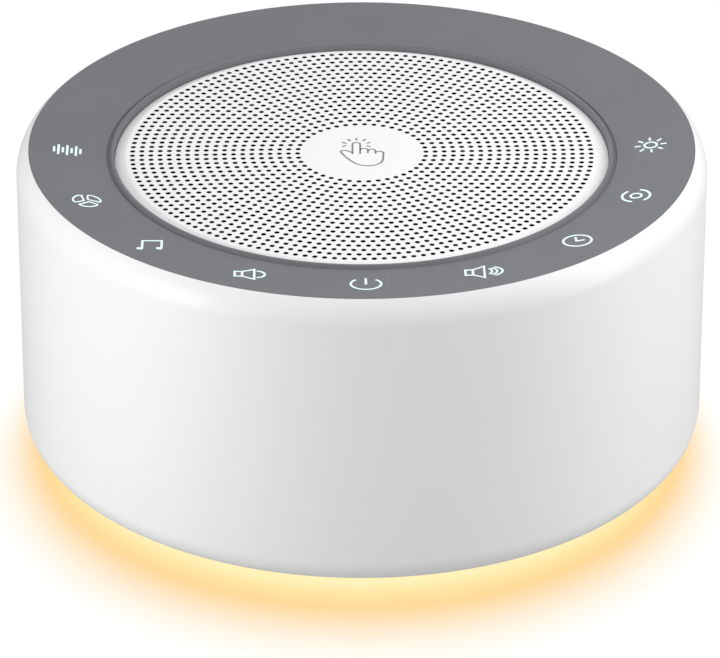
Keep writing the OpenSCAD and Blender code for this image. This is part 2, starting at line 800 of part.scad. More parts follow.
module night_light_board() color("ivory") difference() {
    ring(light_board_inner_r, light_board_r, light_board_z, light_board_z + light_board_t);
    around(stake_angles, stake_r) translate([0, 0, light_board_z - over])
        cylinder(d = stake_d + screw_fit, h = light_board_t + 2 * over);
}

module night_light_leds() color("khaki") around(lamp_angles, lamp_r)
    hang_block([night_led_w, night_led_l, night_led_h], light_board_z);

module night_light_leads() color("firebrick") for (side = [-1, 0, 1]) {
    y = light_socket_y + side * light_lead_pitch;
    start = [light_board_inner_r + light_lead_inset, y, light_board_z + light_board_t];
    end = [light_socket_x, y, board_top + socket_h];
    wire(curve(start, [0, 0, 12], end, [0, 0, -9], 12), [0, 1, 0], lead_d);
}

module light_ring() color("lightyellow") difference() {
    union() {
        ring(light_bore_r, light_flange_r, lip_top, light_top);
        ring(light_inner_r, light_r, base_gap, lip_top);
        around(stake_angles, stake_r) {
            disc(stake_d, light_top - bite, light_boss_h + bite);
            disc(stake_d / 2, light_board_z - bite, light_board_t + 2 * bite);
            disc(stake_d * 0.75, light_board_z + light_board_t, 0.5);
        }
    }
    around(diagonals, post_r) translate([0, 0, lip_top - over])
        cylinder(d = base_screw_d + 2 * screw_fit, h = light_flange_t + 2 * over);
}

module base_plate() color("whitesmoke") difference() {
    union() {
        disc(base_r, base_gap, base_t);
        ring(base_r - rib_t, base_r, base_top - bite, lip_top);
        ring(light_bore_r - fit - rib_t, light_bore_r - fit, base_top - bite, light_top);
        around(diagonals, post_r)
            disc(post_d / 2 + boss_margin, base_top - bite, lip_top - base_top + bite);
        for (p = board_corners) translate(p)
            disc(small_screw_d / 2 + rib_t, base_top - bite, board_z - base_top + bite);
    }
    around(diagonals, post_r) {
        translate([0, 0, base_gap - over])
            cylinder(d = base_screw_d + 2 * screw_fit, h = lip_top - base_gap + 2 * over);
        translate([0, 0, base_gap - over])
            cylinder(d = base_screw_d * head_ratio + 2 * fit, h = over + head_h + head_sink);
    }
    for (p = board_corners) translate(p) translate([0, 0, board_top - board_screw_l - fit])
        cylinder(d = small_screw_d + screw_fit, h = board_screw_l + over);
    around([0:90:270], foot_ring_r) translate([0, 0, base_gap - over])
        cylinder(d = foot_d + 2 * fit, h = over + foot_recess);
}

module base_screws() color("silver") around(diagonals, post_r)
    translate([0, 0, base_gap + head_h + head_sink])
        screw_up(base_screw_d, base_screw_l + light_top - base_gap - head_h - head_sink - fit);

module rubber_feet() color("#202020") around([0:90:270], foot_ring_r) rotate_extrude() {
    edge = 0.4;
    polygon([[0, 0], [foot_d / 2 - edge, 0], [foot_d / 2, edge],
        [foot_d / 2, base_gap + foot_recess], [0, base_gap + foot_recess]]);
}

outer_housing();
touch_panel();
panel_tape();
touch_board();
icon_leds();
touch_chip();
speaker_grille();
grille_cloth();
centre_touch_pad();
inner_frame();
frame_screws();
speaker_gasket();
speaker_basket();
speaker_screws();
speaker_top_plate();
speaker_magnet();
speaker_yoke();
speaker_cone();
dust_cap();
voice_coil();
surround();
spider();
speaker_terminals();
speaker_leads();
main_board();
board_screws();
usb_c_port();
board_chips();
capacitors();
lead_sockets();
ribbon_socket();
touch_ribbon();
night_light_board();
night_light_leds();
night_light_leads();
light_ring();
base_plate();
base_screws();
rubber_feet();
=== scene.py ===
import math

import bmesh
import bpy
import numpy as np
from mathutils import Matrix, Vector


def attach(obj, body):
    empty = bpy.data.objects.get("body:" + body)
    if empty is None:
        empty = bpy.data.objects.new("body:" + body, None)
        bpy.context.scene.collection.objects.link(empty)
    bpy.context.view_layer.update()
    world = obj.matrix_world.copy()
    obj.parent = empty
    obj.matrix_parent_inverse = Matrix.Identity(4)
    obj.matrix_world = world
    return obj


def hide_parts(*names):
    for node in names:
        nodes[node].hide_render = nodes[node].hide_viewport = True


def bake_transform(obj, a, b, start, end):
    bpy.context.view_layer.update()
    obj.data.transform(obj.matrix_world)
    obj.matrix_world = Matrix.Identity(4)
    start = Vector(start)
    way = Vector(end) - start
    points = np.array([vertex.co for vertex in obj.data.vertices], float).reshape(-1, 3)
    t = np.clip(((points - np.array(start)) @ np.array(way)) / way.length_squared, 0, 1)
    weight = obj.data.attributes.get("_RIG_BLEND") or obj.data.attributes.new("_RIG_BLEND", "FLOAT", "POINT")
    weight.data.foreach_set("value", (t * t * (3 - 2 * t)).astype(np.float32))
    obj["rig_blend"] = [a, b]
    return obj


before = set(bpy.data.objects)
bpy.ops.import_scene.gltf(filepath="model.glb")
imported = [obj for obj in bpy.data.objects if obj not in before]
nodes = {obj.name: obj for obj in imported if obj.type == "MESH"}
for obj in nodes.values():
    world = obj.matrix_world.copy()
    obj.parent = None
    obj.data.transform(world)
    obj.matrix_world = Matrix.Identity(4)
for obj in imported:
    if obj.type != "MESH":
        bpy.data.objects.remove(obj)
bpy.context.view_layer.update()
mm = 0.001
print("frame loaded:", len(nodes), "CAD nodes")

# The eye stands well back with a long lens, above the front and a little to the left
viewValues = {
    "down": 28.397,       # degrees below level
    "turn": -0.9,         # degrees round the drum
    "lens": 262.36,
    "distance": 858.49,   # from the middle of the grille, in mm
    "left": 0.295,        # the point looked at is this far left of the drum's axis
    "under": 28.876,      # and this far below the grille in the picture, both in mm
    "grilleHeight": 51.85,
}


def makeCamera(values):
    down = math.radians(values["down"])
    turn = math.radians(values["turn"])
    x = -values["left"]
    y = -values["under"] * math.sin(down) - values["distance"] * math.cos(down)
    z = values["grilleHeight"] - values["under"] * math.cos(down)
    z += values["distance"] * math.sin(down)
    camera = bpy.data.objects.new("studioCamera", bpy.data.cameras.new("studioCamera"))
    camera.data.lens = values["lens"]
    camera.data.sensor_width = 36
    camera.data.sensor_fit = "HORIZONTAL"
    camera.data.clip_start = 0.01
    camera.location = (
        (x * math.cos(turn) - y * math.sin(turn)) * mm,
        (x * math.sin(turn) + y * math.cos(turn)) * mm,
        z * mm,
    )
    camera.rotation_euler = (math.pi / 2 - down, 0, turn)
    bpy.context.scene.collection.objects.link(camera)
    bpy.context.scene.camera = camera


makeCamera(viewValues)


def fromScreen(*colour):
    # a colour as a colour picker shows it, 0 to 255, made linear
    linear = [c / 255 / 12.92 if c <= 10 else ((c / 255 + 0.055) / 1.055) ** 2.4 for c in colour]
    return (*linear, 1.0)


# Meshes: everything is measured in mm and scaled once, when a piece is finished

def arcPoints(x, y, radius, start, end, steps=28, tall=None):
    # a round arc, or an oval one where its other radius is given
    angles = [math.radians(start + (end - start) * i / steps) for i in range(steps + 1)]
    return [(x + radius * math.cos(a), y + (tall or radius) * math.sin(a)) for a in angles]


def roundedCorners(corners, steps=5):
    # corners are (r, z, radius); each is replaced by an arc that touches both its edges
    points = []
    count = len(corners)
    for i, (r, z, radius) in enumerate(corners):
        if radius <= 0:
            points.append((r, z))
            continue
        before, after = corners[i - 1], corners[(i + 1) % count]
        ax, az = before[0] - r, before[1] - z
        bx, bz = after[0] - r, after[1] - z
        la, lb = math.hypot(ax, az), math.hypot(bx, bz)
        ax, az, bx, bz = ax / la, az / la, bx / lb, bz / lb
        half = math.acos(max(-1, min(1, ax * bx + az * bz))) / 2
        reach = min(radius / math.tan(half), la * 0.49, lb * 0.49)
        for step in range(steps + 1):
            t = step / steps
            # a quadratic blend is close to the arc at these small sizes
            p = (1 - t) ** 2, 2 * t * (1 - t), t ** 2
            points.append((
                p[0] * (r + ax * reach) + p[1] * r + p[2] * (r + bx * reach),
                p[0] * (z + az * reach) + p[1] * z + p[2] * (z + bz * reach),
            ))
    return points


def addSpin(mesh, profile, steps):
    # the closed profile of (r, z) points, turned round the drum's axis
    angles = [2 * math.pi * i / steps for i in range(steps)]
    rings = [
        [mesh.verts.new((r * math.cos(a), r * math.sin(a), z)) for a in angles] for r, z in profile
    ]
    for j, ring in enumerate(rings):
        follower = rings[(j + 1) % len(rings)]
        for i in range(steps):
            n = (i + 1) % steps
            mesh.faces.new((ring[i], ring[n], follower[n], follower[i]))


smoothUpTo = 32   # degrees that an edge may turn and still be shaded smooth


def shadeMesh(data):
    data.shade_smooth()
    data.set_sharp_from_angle(angle=math.radians(smoothUpTo))


def finishMesh(name, mesh):
    bmesh.ops.recalc_face_normals(mesh, faces=mesh.faces)
    bmesh.ops.scale(mesh, vec=(mm, mm, mm), verts=mesh.verts)
    data = bpy.data.meshes.new(name)
    mesh.to_mesh(data)
    mesh.free()
    shadeMesh(data)
    piece = bpy.data.objects.new(name, data)
    bpy.context.scene.collection.objects.link(piece)
    return piece


def spinPiece(name, profile, steps):
    mesh = bmesh.new()
    addSpin(mesh, profile, steps)
    return finishMesh(name, mesh)


def bakeModifiers(piece):
    # the modifiers' result becomes the piece's own plain mesh
    evaluated = piece.evaluated_get(bpy.context.evaluated_depsgraph_get())
    data = bpy.data.meshes.new_from_object(evaluated)
    piece.modifiers.clear()
    piece.data = data
    return piece


def placePiece(piece, body, slotName, material, *replaced):
    piece.data.materials.clear()
    piece.data.materials.append(material)
    if "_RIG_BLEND" not in piece.data.attributes:
        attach(piece, body)
    if replaced:
        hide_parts(*replaced)


# Materials: shared effects are node groups, the shaders stay in each material

def setSocket(tree, socket, value):
    # a socket gets a plain value or another node's output
    if isinstance(value, bpy.types.NodeSocket):
        tree.links.new(value, socket)
    else:
        socket.default_value = value


def newGroup(name, inputs, outputs):
    tree = bpy.data.node_groups.new(name, "ShaderNodeTree")
    kind = "NodeSocketFloat"
    for socketName, value in inputs:
        socket = tree.interface.new_socket(name=socketName, in_out="INPUT", socket_type=kind)
        socket.default_value = value
    for socketName in outputs:
        tree.interface.new_socket(name=socketName, in_out="OUTPUT", socket_type=kind)
    entry = tree.nodes.new("NodeGroupInput")
    exit = tree.nodes.new("NodeGroupOutput")
    return tree, entry, exit


def setSockets(tree, node, **sockets):
    # named as in Blender, with _ for a space
    for name, value in sockets.items():
        setSocket(tree, node.inputs[name.replace("_", " ")], value)
    return node


def treeNode(tree, kind, **sockets):
    return setSockets(tree, tree.nodes.new(kind), **sockets)


def mathNode(tree, operation, first, second=None, clamp=False):
    node = tree.nodes.new("ShaderNodeMath")
    node.operation = operation
    node.use_clamp = clamp
    for socket, value in zip(node.inputs, (first, second)):
        if value is not None:
            setSocket(tree, socket, value)
    return node.outputs[0]


def plus(tree, first, second, clamp=False):
    return mathNode(tree, "ADD", first, second, clamp)


def times(tree, first, second, clamp=False):
    return mathNode(tree, "MULTIPLY", first, second, clamp)


def noiseNode(tree, vector, scale, detail=2.0):
    noise = treeNode(tree, "ShaderNodeTexNoise", Vector=vector, Scale=scale, Detail=detail)
    return noise.outputs["Fac"]


def rangeNode(tree, value, low, high, toLow, toHigh, smooth=False):
    node = tree.nodes.new("ShaderNodeMapRange")
    if smooth:
        node.interpolation_type = "SMOOTHSTEP"
    for socket, entry in zip(node.inputs, (value, low, high, toLow, toHigh)):
        setSocket(tree, socket, entry)
    return node.outputs[0]


def placeOf(tree):
    return tree.nodes.new("ShaderNodeTexCoord").outputs["Object"]


def splitVector(tree, vector):
    return treeNode(tree, "ShaderNodeSeparateXYZ", Vector=vector).outputs


grainValues = {"coarser": 0.31, "fineShare": 0.6, "cloudScale": 38.0}


def buildMouldGrain(v):
    # the fine spark-eroded grain of a mould, and the faint cloudiness of thick plastic
    inputs = [("Grain size mm", 0.12), ("Cloudiness", 0.02)]
    tree, entry, exit = newGroup("mouldGrain", inputs, ["Height", "Tone"])
    place = placeOf(tree)
    scale = mathNode(tree, "DIVIDE", 1000.0, entry.outputs["Grain size mm"])
    fine = times(tree, noiseNode(tree, place, scale, 1.0), v["fineShare"])
    coarse = noiseNode(tree, place, times(tree, scale, v["coarser"]))
    coarse = times(tree, coarse, 1.0 - v["fineShare"])
    cloud = mathNode(tree, "SUBTRACT", noiseNode(tree, place, v["cloudScale"], 3.0), 0.5)
    tone = plus(tree, 1.0, times(tree, cloud, entry.outputs["Cloudiness"]))
    setSockets(tree, exit, Height=plus(tree, fine, coarse), Tone=tone)
    return tree


handMarkValues = {
    "smudgeScale": 70.0, "smudge": (0.42, 0.68), "patchScale": 55.0, "patch": (0.5, 0.62),
    "hair": (0.72, 0.76), "tilt": (0.2, 0.1),
    "hairs": ((0.6, (900.0, 22.0, 30.0)), (2.1, (25.0, 1100.0, 30.0))),
}


def buildHandMarks(v):
    # smudges where hands touch, and hairline scratches in two directions
    inputs = [("Smudges", 0.05), ("Scratches", 0.1)]
    tree, entry, exit = newGroup("handMarks", inputs, ["Roughness", "Scratch"])
    place = placeOf(tree)
    smudge = noiseNode(tree, place, v["smudgeScale"], 4.0)
    smudge = rangeNode(tree, smudge, *v["smudge"], 0.0, 1.0, True)
    lines = None
    for turn, stretch in v["hairs"]:
        mapping = treeNode(
            tree, "ShaderNodeMapping", Vector=place, Rotation=(*v["tilt"], turn), Scale=stretch)
        hair = noiseNode(tree, mapping.outputs[0], 1.0, 1.0)
        hair = rangeNode(tree, hair, *v["hair"], 0.0, 1.0, True)
        lines = hair if lines is None else mathNode(tree, "MAXIMUM", lines, hair)
    patch = rangeNode(tree, noiseNode(tree, place, v["patchScale"]), *v["patch"], 0.0, 1.0, True)
    lines = times(tree, times(tree, lines, patch), entry.outputs["Scratches"], True)
    smudge = times(tree, smudge, entry.outputs["Smudges"])
    setSockets(tree, exit, Roughness=smudge, Scratch=lines)
    return tree


dustValues = {
    "facingUp": (0.35, 0.95), "filmScale": 120.0, "film": (0.4, 0.8), "filmMost": 0.7,
    "speckScale": 2600.0, "speck": (0.74, 0.8),
}


def buildSettledDust(v):
    # specks and a thin film on the faces that look up
    tree, entry, exit = newGroup("settledDust", [("Dust", 0.05)], ["Mask"])
    place = placeOf(tree)
    normal = tree.nodes.new("ShaderNodeNewGeometry").outputs["Normal"]
    upward = rangeNode(tree, splitVector(tree, normal)["Z"], *v["facingUp"], 0.0, 1.0)
    film = noiseNode(tree, place, v["filmScale"], 5.0)
    film = rangeNode(tree, film, *v["film"], 0.0, v["filmMost"])
    specks = rangeNode(tree, noiseNode(tree, place, v["speckScale"], 0.0), *v["speck"], 0.0, 1.0)
    dust = times(tree, plus(tree, film, specks), upward)
    setSockets(tree, exit, Mask=times(tree, dust, entry.outputs["Dust"], True))
    return tree


weaveValues = {"crossing": 0.3, "gap": (0.35, 0.75)}


def buildWeave(v):
    # a plain weave seen from above: threads over and under each other
    tree, entry, exit = newGroup("plainWeave", [("Thread mm", 0.3)], ["Height", "Gap"])
    x, y, z = splitVector(tree, placeOf(tree))
    pulse = mathNode(tree, "DIVIDE", math.pi * 1000, entry.outputs["Thread mm"])
    across = mathNode(tree, "SINE", times(tree, x, pulse))
    along = mathNode(tree, "SINE", times(tree, y, pulse))
    crossing = times(tree, times(tree, across, along), v["crossing"])
    warp, weft = mathNode(tree, "ABSOLUTE", across), mathNode(tree, "ABSOLUTE", along)
    threads = mathNode(tree, "MAXIMUM", warp, weft)
    gap = rangeNode(tree, threads, *v["gap"], 1.0, 0.0, True)
    setSockets(tree, exit, Height=plus(tree, crossing, threads), Gap=gap)
    return tree


mouldGrain = buildMouldGrain(grainValues)
handMarks = buildHandMarks(handMarkValues)
settledDust = buildSettledDust(dustValues)
plainWeave = buildWeave(weaveValues)


def groupNode(tree, group, **sockets):
    node = tree.nodes.new("ShaderNodeGroup")
    node.node_tree = group
    return setSockets(tree, node, **sockets)


def mixColour(tree, factor, first, second, blendType="MIX"):
    node = tree.nodes.new("ShaderNodeMix")
    node.data_type = "RGBA"
    node.blend_type = blendType
    # a Mix node's colour sockets are its seventh and eighth, and its colour comes out third
    for number, value in ((0, factor), (6, first), (7, second)):
        setSocket(tree, node.inputs[number], value)
    return node.outputs[2]


def mixShaders(tree, factor, first, second):
    mix = tree.nodes.new("ShaderNodeMixShader")
    for socket, value in zip(mix.inputs, (factor, first, second)):
        tree.links.new(value, socket)
    return mix.outputs[0]


def newMaterial(name):
    material = bpy.data.materials.new(name)
    material.use_nodes = True
    tree = material.node_tree
    return material, tree, tree.nodes["Principled BSDF"]


def bumpFrom(tree, shader, height, depth):
    bump = treeNode(tree, "ShaderNodeBump", Distance=depth * mm, Height=height)
    setSockets(tree, shader, Normal=bump.outputs["Normal"])


def colourTimes(tree, colour, value):
    # a colour made lighter or darker by a value that changes over the surface
    grey = tree.nodes.new("ShaderNodeCombineColor")
    for socket in grey.inputs:
        tree.links.new(value, socket)
    return mixColour(tree, 1.0, colour, grey.outputs[0], "MULTIPLY")


def paintedHoleShade(tree, holeShade):
    # painted shade: 1 inside the grille's hole field from just under its face down, so the hole walls and
    # the plate's underside are painted near black for the shade in the holes
    x, y, z = splitVector(tree, placeOf(tree))
    square = plus(tree, times(tree, x, x), times(tree, y, y))
    inside = mathNode(tree, "LESS_THAN", square, (holeShade["radius"] * mm) ** 2)
    depth = rangeNode(tree, z, holeShade["full"] * mm, holeShade["top"] * mm, 1.0, 0.0)
    return times(tree, inside, depth)


def mouldedPlastic(name, values):
    material, tree, shader = newMaterial(name)
    grain = groupNode(tree, mouldGrain, Grain_size_mm=values["grain"], Cloudiness=values["cloud"])
    marks = groupNode(tree, handMarks, Smudges=values["smudges"], Scratches=values["scratches"])
    dust = groupNode(tree, settledDust, Dust=values["dust"])
    colour = colourTimes(tree, values["colour"], grain.outputs["Tone"])
    colour = mixColour(tree, marks.outputs["Scratch"], colour, values["scratchColour"])
    colour = mixColour(tree, dust.outputs["Mask"], colour, values["dustColour"])
    # painted shade: near black inside the grille's holes, where a finish asks for it
    if "holeShade" in values:
        colour = mixColour(tree, paintedHoleShade(tree, values["holeShade"]), colour, values["holeShade"]["colour"])
    rough = plus(tree, values["roughness"], marks.outputs["Roughness"])
    dusty = times(tree, dust.outputs["Mask"], values["dustRoughness"])
    setSockets(tree, shader, Base_Color=colour, Roughness=plus(tree, rough, dusty, True))
    bumpFrom(tree, shader, grain.outputs["Height"], values["depth"])
    return material


def wornMetal(name, values):
    # brushed, plated or cast: lines along one axis, tarnish in patches
    material, tree, shader = newMaterial(name)
    place = placeOf(tree)
    mapping = treeNode(tree, "ShaderNodeMapping", Vector=place, Scale=values["stretch"])
    lines = noiseNode(tree, mapping.outputs[0], 1.0, 3.0)
    patches = noiseNode(tree, place, values["patchScale"], 4.0)
    patches = rangeNode(tree, patches, *values["patch"], 0.0, values["tarnish"], True)
    marks = groupNode(tree, handMarks, Smudges=values["smudges"], Scratches=values["scratches"])
    colour = mixColour(tree, patches, values["colour"], values["tarnishColour"])
    colour = mixColour(tree, marks.outputs["Scratch"], colour, values["scratchColour"])
    rough = plus(tree, times(tree, lines, values["lineRoughness"]), values["roughness"])
    rough = plus(tree, rough, marks.outputs["Roughness"], True)
    setSockets(tree, shader, Base_Color=colour, Metallic=values["metallic"], Roughness=rough)
    bumpFrom(tree, shader, lines, values["depth"])
    return material


def wovenCloth(name, values):
    material, tree, shader = newMaterial(name)
    weave = groupNode(tree, plainWeave, Thread_mm=values["thread"])
    grain = groupNode(tree, mouldGrain, Grain_size_mm=values["grain"], Cloudiness=values["cloud"])
    colour = mixColour(tree, weave.outputs["Gap"], values["colour"], values["gapColour"])
    colour = colourTimes(tree, colour, grain.outputs["Tone"])
    setSockets(
        tree, shader, Base_Color=colour, Roughness=values["roughness"],
        Sheen_Weight=values["sheen"])
    fuzz = times(tree, grain.outputs["Height"], values["fuzz"])
    height = plus(tree, weave.outputs["Height"], fuzz)
    bumpFrom(tree, shader, height, values["thread"] * values["threadDepth"])
    return material


def circuitBoard(name, values):
    # solder mask over copper tracks that run square to each other, with tinned pads
    material, tree, shader = newMaterial(name)
    grain = groupNode(tree, mouldGrain, Grain_size_mm=values["grain"], Cloudiness=values["cloud"])
    tracks = treeNode(
        tree, "ShaderNodeTexVoronoi", Vector=placeOf(tree), Scale=values["trackScale"])
    tracks.distance = "MANHATTAN"
    tracks.feature = "F1"
    distance = tracks.outputs["Distance"]
    band = mathNode(tree, "PINGPONG", times(tree, distance, values["tracksPerPad"]), 0.5)
    track = rangeNode(tree, band, *values["trackEdge"], 0.0, 1.0, True)
    pad = rangeNode(tree, distance, *values["padEdge"], 1.0, 0.0, True)
    colour = mixColour(tree, track, values["mask"], values["track"])
    colour = mixColour(tree, pad, colour, values["padColour"])
    colour = colourTimes(tree, colour, grain.outputs["Tone"])
    rough = rangeNode(tree, pad, 0.0, 1.0, values["maskRoughness"], values["padRoughness"])
    setSockets(tree, shader, Base_Color=colour, Roughness=rough)
    bumpFrom(tree, shader, plus(tree, track, pad), values["depth"])
    return material


def litPlastic(name, values):
    # plastic that lamps shine through: brightest beside each lamp
    material, tree, shader = newMaterial(name)
    grain = groupNode(tree, mouldGrain, Grain_size_mm=values["grain"], Cloudiness=values["cloud"])
    marks = groupNode(tree, handMarks, Smudges=values["smudges"], Scratches=values["scratches"])
    tone = glow = grain.outputs["Tone"]
    if values["lamps"]:
        x, y, z = splitVector(tree, placeOf(tree))
        angle = mathNode(tree, "ARCTAN2", y, x)
        wave = mathNode(tree, "COSINE", times(tree, angle, values["lamps"]))
        glow = times(tree, glow, rangeNode(tree, wave, -1.0, 1.0, 1.0, values["betweenLamps"]))
    setSockets(
        tree, shader, Base_Color=colourTimes(tree, values["colour"], tone),
        Roughness=plus(tree, values["roughness"], marks.outputs["Roughness"]),
        Emission_Color=colourTimes(tree, values["light"], glow),
        Emission_Strength=values["strength"])
    bumpFrom(tree, shader, grain.outputs["Height"], values["depth"])
    return material


# Each maker has its plain values, and each finish says what it changes in them

plainPlastic = {
    "colour": fromScreen(243, 243, 243), "grain": 0.16, "cloud": 0.02, "smudges": 0.05,
    "scratches": 0.05, "scratchColour": (0.7, 0.7, 0.7, 1), "dust": 0.03,
    "dustColour": (0.55, 0.53, 0.5, 1), "dustRoughness": 0.3, "roughness": 0.36, "depth": 0.004,
}
plasticFinishes = {
    "whiteShell": {},
    "whiteGrille": {
        "colour": fromScreen(251, 251, 251), "grain": 0.1, "roughness": 0.42,
        # the holes' walls and the underside in the hole field are painted near black: painted shade
        "holeShade": {"radius": 38.4, "top": 51.84, "full": 51.81, "colour": (0.006, 0.006, 0.006, 1)}},
    "greyPanel": {
        "colour": fromScreen(114, 116, 121), "grain": 0.09, "roughness": 0.52, "depth": 0.003,
        "smudges": 0.08, "scratches": 0.08, "dust": 0.035, "scratchColour": (0.32, 0.32, 0.33, 1)},
    "innerPlastic": {
        "colour": fromScreen(212, 212, 208), "grain": 0.3, "roughness": 0.5, "depth": 0.01,
        "scratches": 0.2},
    "basePlastic": {
        "colour": fromScreen(238, 238, 237), "grain": 0.35, "roughness": 0.5, "depth": 0.014,
        "scratches": 0.35},
    "socketPlastic": {"colour": fromScreen(232, 224, 200), "grain": 0.2, "roughness": 0.4},
    "chipBlack": {
        "colour": fromScreen(34, 34, 36), "grain": 0.08, "roughness": 0.45,
        "dustColour": (0.3, 0.3, 0.3, 1)},
    "softRubber": {
        "colour": fromScreen(42, 42, 43), "grain": 0.14, "cloud": 0.3, "roughness": 0.72,
        "depth": 0.02, "scratches": 0.5, "scratchColour": (0.1, 0.1, 0.1, 1),
        "dustColour": (0.28, 0.27, 0.25, 1)},
    "foam": {
        "colour": fromScreen(74, 74, 76), "grain": 0.35, "cloud": 0.4, "roughness": 0.9,
        "depth": 0.12},
    "tape": {
        "colour": fromScreen(190, 188, 182), "grain": 0.4, "cloud": 0.2, "roughness": 0.6,
        "depth": 0.02},
    "ribbonFilm": {"colour": fromScreen(236, 236, 232), "grain": 0.5, "roughness": 0.3},
    "fibreBoard": {
        "colour": fromScreen(168, 124, 74), "grain": 0.25, "cloud": 0.5, "roughness": 0.7,
        "depth": 0.03},
    "wireSleeve": {
        "colour": fromScreen(178, 34, 30), "grain": 0.3, "cloud": 0.15, "roughness": 0.35},
    "markInk": {"colour": fromScreen(128, 128, 130), "grain": 0.1, "roughness": 0.5, "dust": 0.0},
}
plainMetal = {
    "metallic": 1.0, "patchScale": 260.0, "patch": (0.45, 0.7), "lineRoughness": 0.2,
    "smudges": 0.08, "scratchColour": (0.85, 0.85, 0.85, 1),
}
metalFinishes = {
    "screwSteel": {
        "colour": (0.62, 0.62, 0.64, 1), "tarnish": 0.5, "tarnishColour": (0.4, 0.38, 0.34, 1),
        "stretch": (700, 700, 3000), "roughness": 0.24, "depth": 0.01, "scratches": 0.7},
    "speakerSteel": {
        "colour": (0.34, 0.35, 0.37, 1), "metallic": 0.9, "tarnish": 0.6,
        "tarnishColour": (0.22, 0.22, 0.22, 1), "stretch": (300, 300, 2400), "roughness": 0.34,
        "depth": 0.012, "scratches": 0.5},
    "portSteel": {
        "colour": (0.7, 0.7, 0.72, 1), "tarnish": 0.25, "tarnishColour": (0.5, 0.5, 0.5, 1),
        "stretch": (400, 3000, 400), "roughness": 0.2, "depth": 0.004, "scratches": 0.8},
    "canAluminium": {
        "colour": (0.8, 0.8, 0.82, 1), "tarnish": 0.2, "tarnishColour": (0.6, 0.6, 0.6, 1),
        "stretch": (500, 500, 4000), "roughness": 0.25, "lineRoughness": 0.15, "depth": 0.004,
        "scratches": 0.3},
    "ferrite": {
        "colour": (0.05, 0.05, 0.055, 1), "metallic": 0.0, "tarnish": 0.8,
        "tarnishColour": (0.09, 0.085, 0.08, 1), "stretch": (1500, 1500, 1500),
        "roughness": 0.55, "lineRoughness": 0.3, "depth": 0.05, "scratches": 0.3},
    "copperWinding": {
        "colour": (0.72, 0.34, 0.14, 1), "metallic": 0.9, "tarnish": 0.4,
        "tarnishColour": (0.4, 0.16, 0.06, 1), "stretch": (60, 60, 6500), "roughness": 0.28,
        "depth": 0.06, "scratches": 0.1},
    "copperFoil": {
        "colour": (0.78, 0.42, 0.22, 1), "metallic": 0.9, "tarnish": 0.5,
        "tarnishColour": (0.45, 0.2, 0.1, 1), "stretch": (300, 1500, 300), "roughness": 0.32,
        "lineRoughness": 0.15, "depth": 0.01, "scratches": 0.4},
}
plainCloth = {
    "grain": 0.08, "cloud": 0.25, "roughness": 0.9, "sheen": 0.15, "fuzz": 0.4, "threadDepth": 0.3,
}
clothFinishes = {
    "dustCloth": {
        "thread": 0.32, "colour": (0.028, 0.028, 0.03, 1), "gapColour": (0.006, 0.006, 0.006, 1)},
    "capCloth": {
        "thread": 0.22, "colour": (0.04, 0.04, 0.042, 1), "gapColour": (0.015, 0.015, 0.015, 1)},
    "conePaper": {
        "thread": 0.9, "colour": (0.07, 0.068, 0.065, 1), "gapColour": (0.05, 0.048, 0.046, 1)},
    "spiderCloth": {
        "thread": 0.4, "colour": (0.58, 0.4, 0.17, 1), "gapColour": (0.25, 0.16, 0.06, 1)},
}
plainBoard = {
    "grain": 0.3, "cloud": 0.2, "trackScale": 420.0, "tracksPerPad": 3.2, "trackEdge": (0.2, 0.3),
    "padEdge": (0.1, 0.13), "padColour": (0.62, 0.6, 0.56, 1), "maskRoughness": 0.28,
    "padRoughness": 0.4, "depth": 0.03,
}
boardFinishes = {
    "greenBoard": {"mask": (0.012, 0.13, 0.05, 1), "track": (0.03, 0.24, 0.09, 1)},
    "whiteBoard": {"mask": (0.8, 0.8, 0.78, 1), "track": (0.88, 0.88, 0.85, 1)},
}
plainLight = {
    "grain": 0.25, "cloud": 0.2, "smudges": 0.05, "scratches": 0.1, "roughness": 0.35,
    "depth": 0.004, "strength": 1.0, "lamps": 0, "betweenLamps": 0.82,
}
lightFinishes = {
    "nightLight": {
        "colour": (0.9, 0.8, 0.6, 1), "light": fromScreen(255, 236, 170), "strength": 1.5,
        "lamps": 16, "cloud": 0.1},
    "lamp": {"colour": (0.9, 0.85, 0.6, 1), "light": fromScreen(255, 238, 190)},
    "symbolLight": {
        "colour": (0.12, 0.14, 0.14, 1), "light": fromScreen(230, 251, 247), "strength": 0.92,
        "cloud": 0.08},
}
finishes = {}
for maker, plain, table in (
    (mouldedPlastic, plainPlastic, plasticFinishes),
    (wornMetal, plainMetal, metalFinishes),
    (wovenCloth, plainCloth, clothFinishes),
    (circuitBoard, plainBoard, boardFinishes),
    (litPlastic, plainLight, lightFinishes),
):
    for finishName, changes in table.items():
        finishes[finishName] = maker(finishName, {**plain, **changes})
print("materials made:", len(finishes))

# Drum

drumValues = {
    "radius": 56.5, "bottom": 2.6, "footRound": 4.9, "rimRound": 5.6, "wall": 2.2,
    "opening": 49.7, "lipTop": 4.8, "ledgeRadius": 52.0, "ledgeTop": 51.95, "ledgeBottom": 49.75,
    "panelSeat": 54.42, "rimCentre": (50.9, 49.379), "mouthBevel": 0.2, "seatBevel": 0.1,
    "seatEase": 0.02, "steps": 288, "inletHeight": 13.2, "inletWidth": 9.3, "inletTall": 3.6,
    "recessWidth": 12.1, "recessTall": 6.4, "recessDepth": 0.9, "inletDepth": 5.0,
    "toolReach": 4.0, "slotSteps": 20, "footSteps": 20, "wallSteps": 6, "rimSteps": 18,
    "innerRimSteps": 3, "innerFootSteps": 10,
}


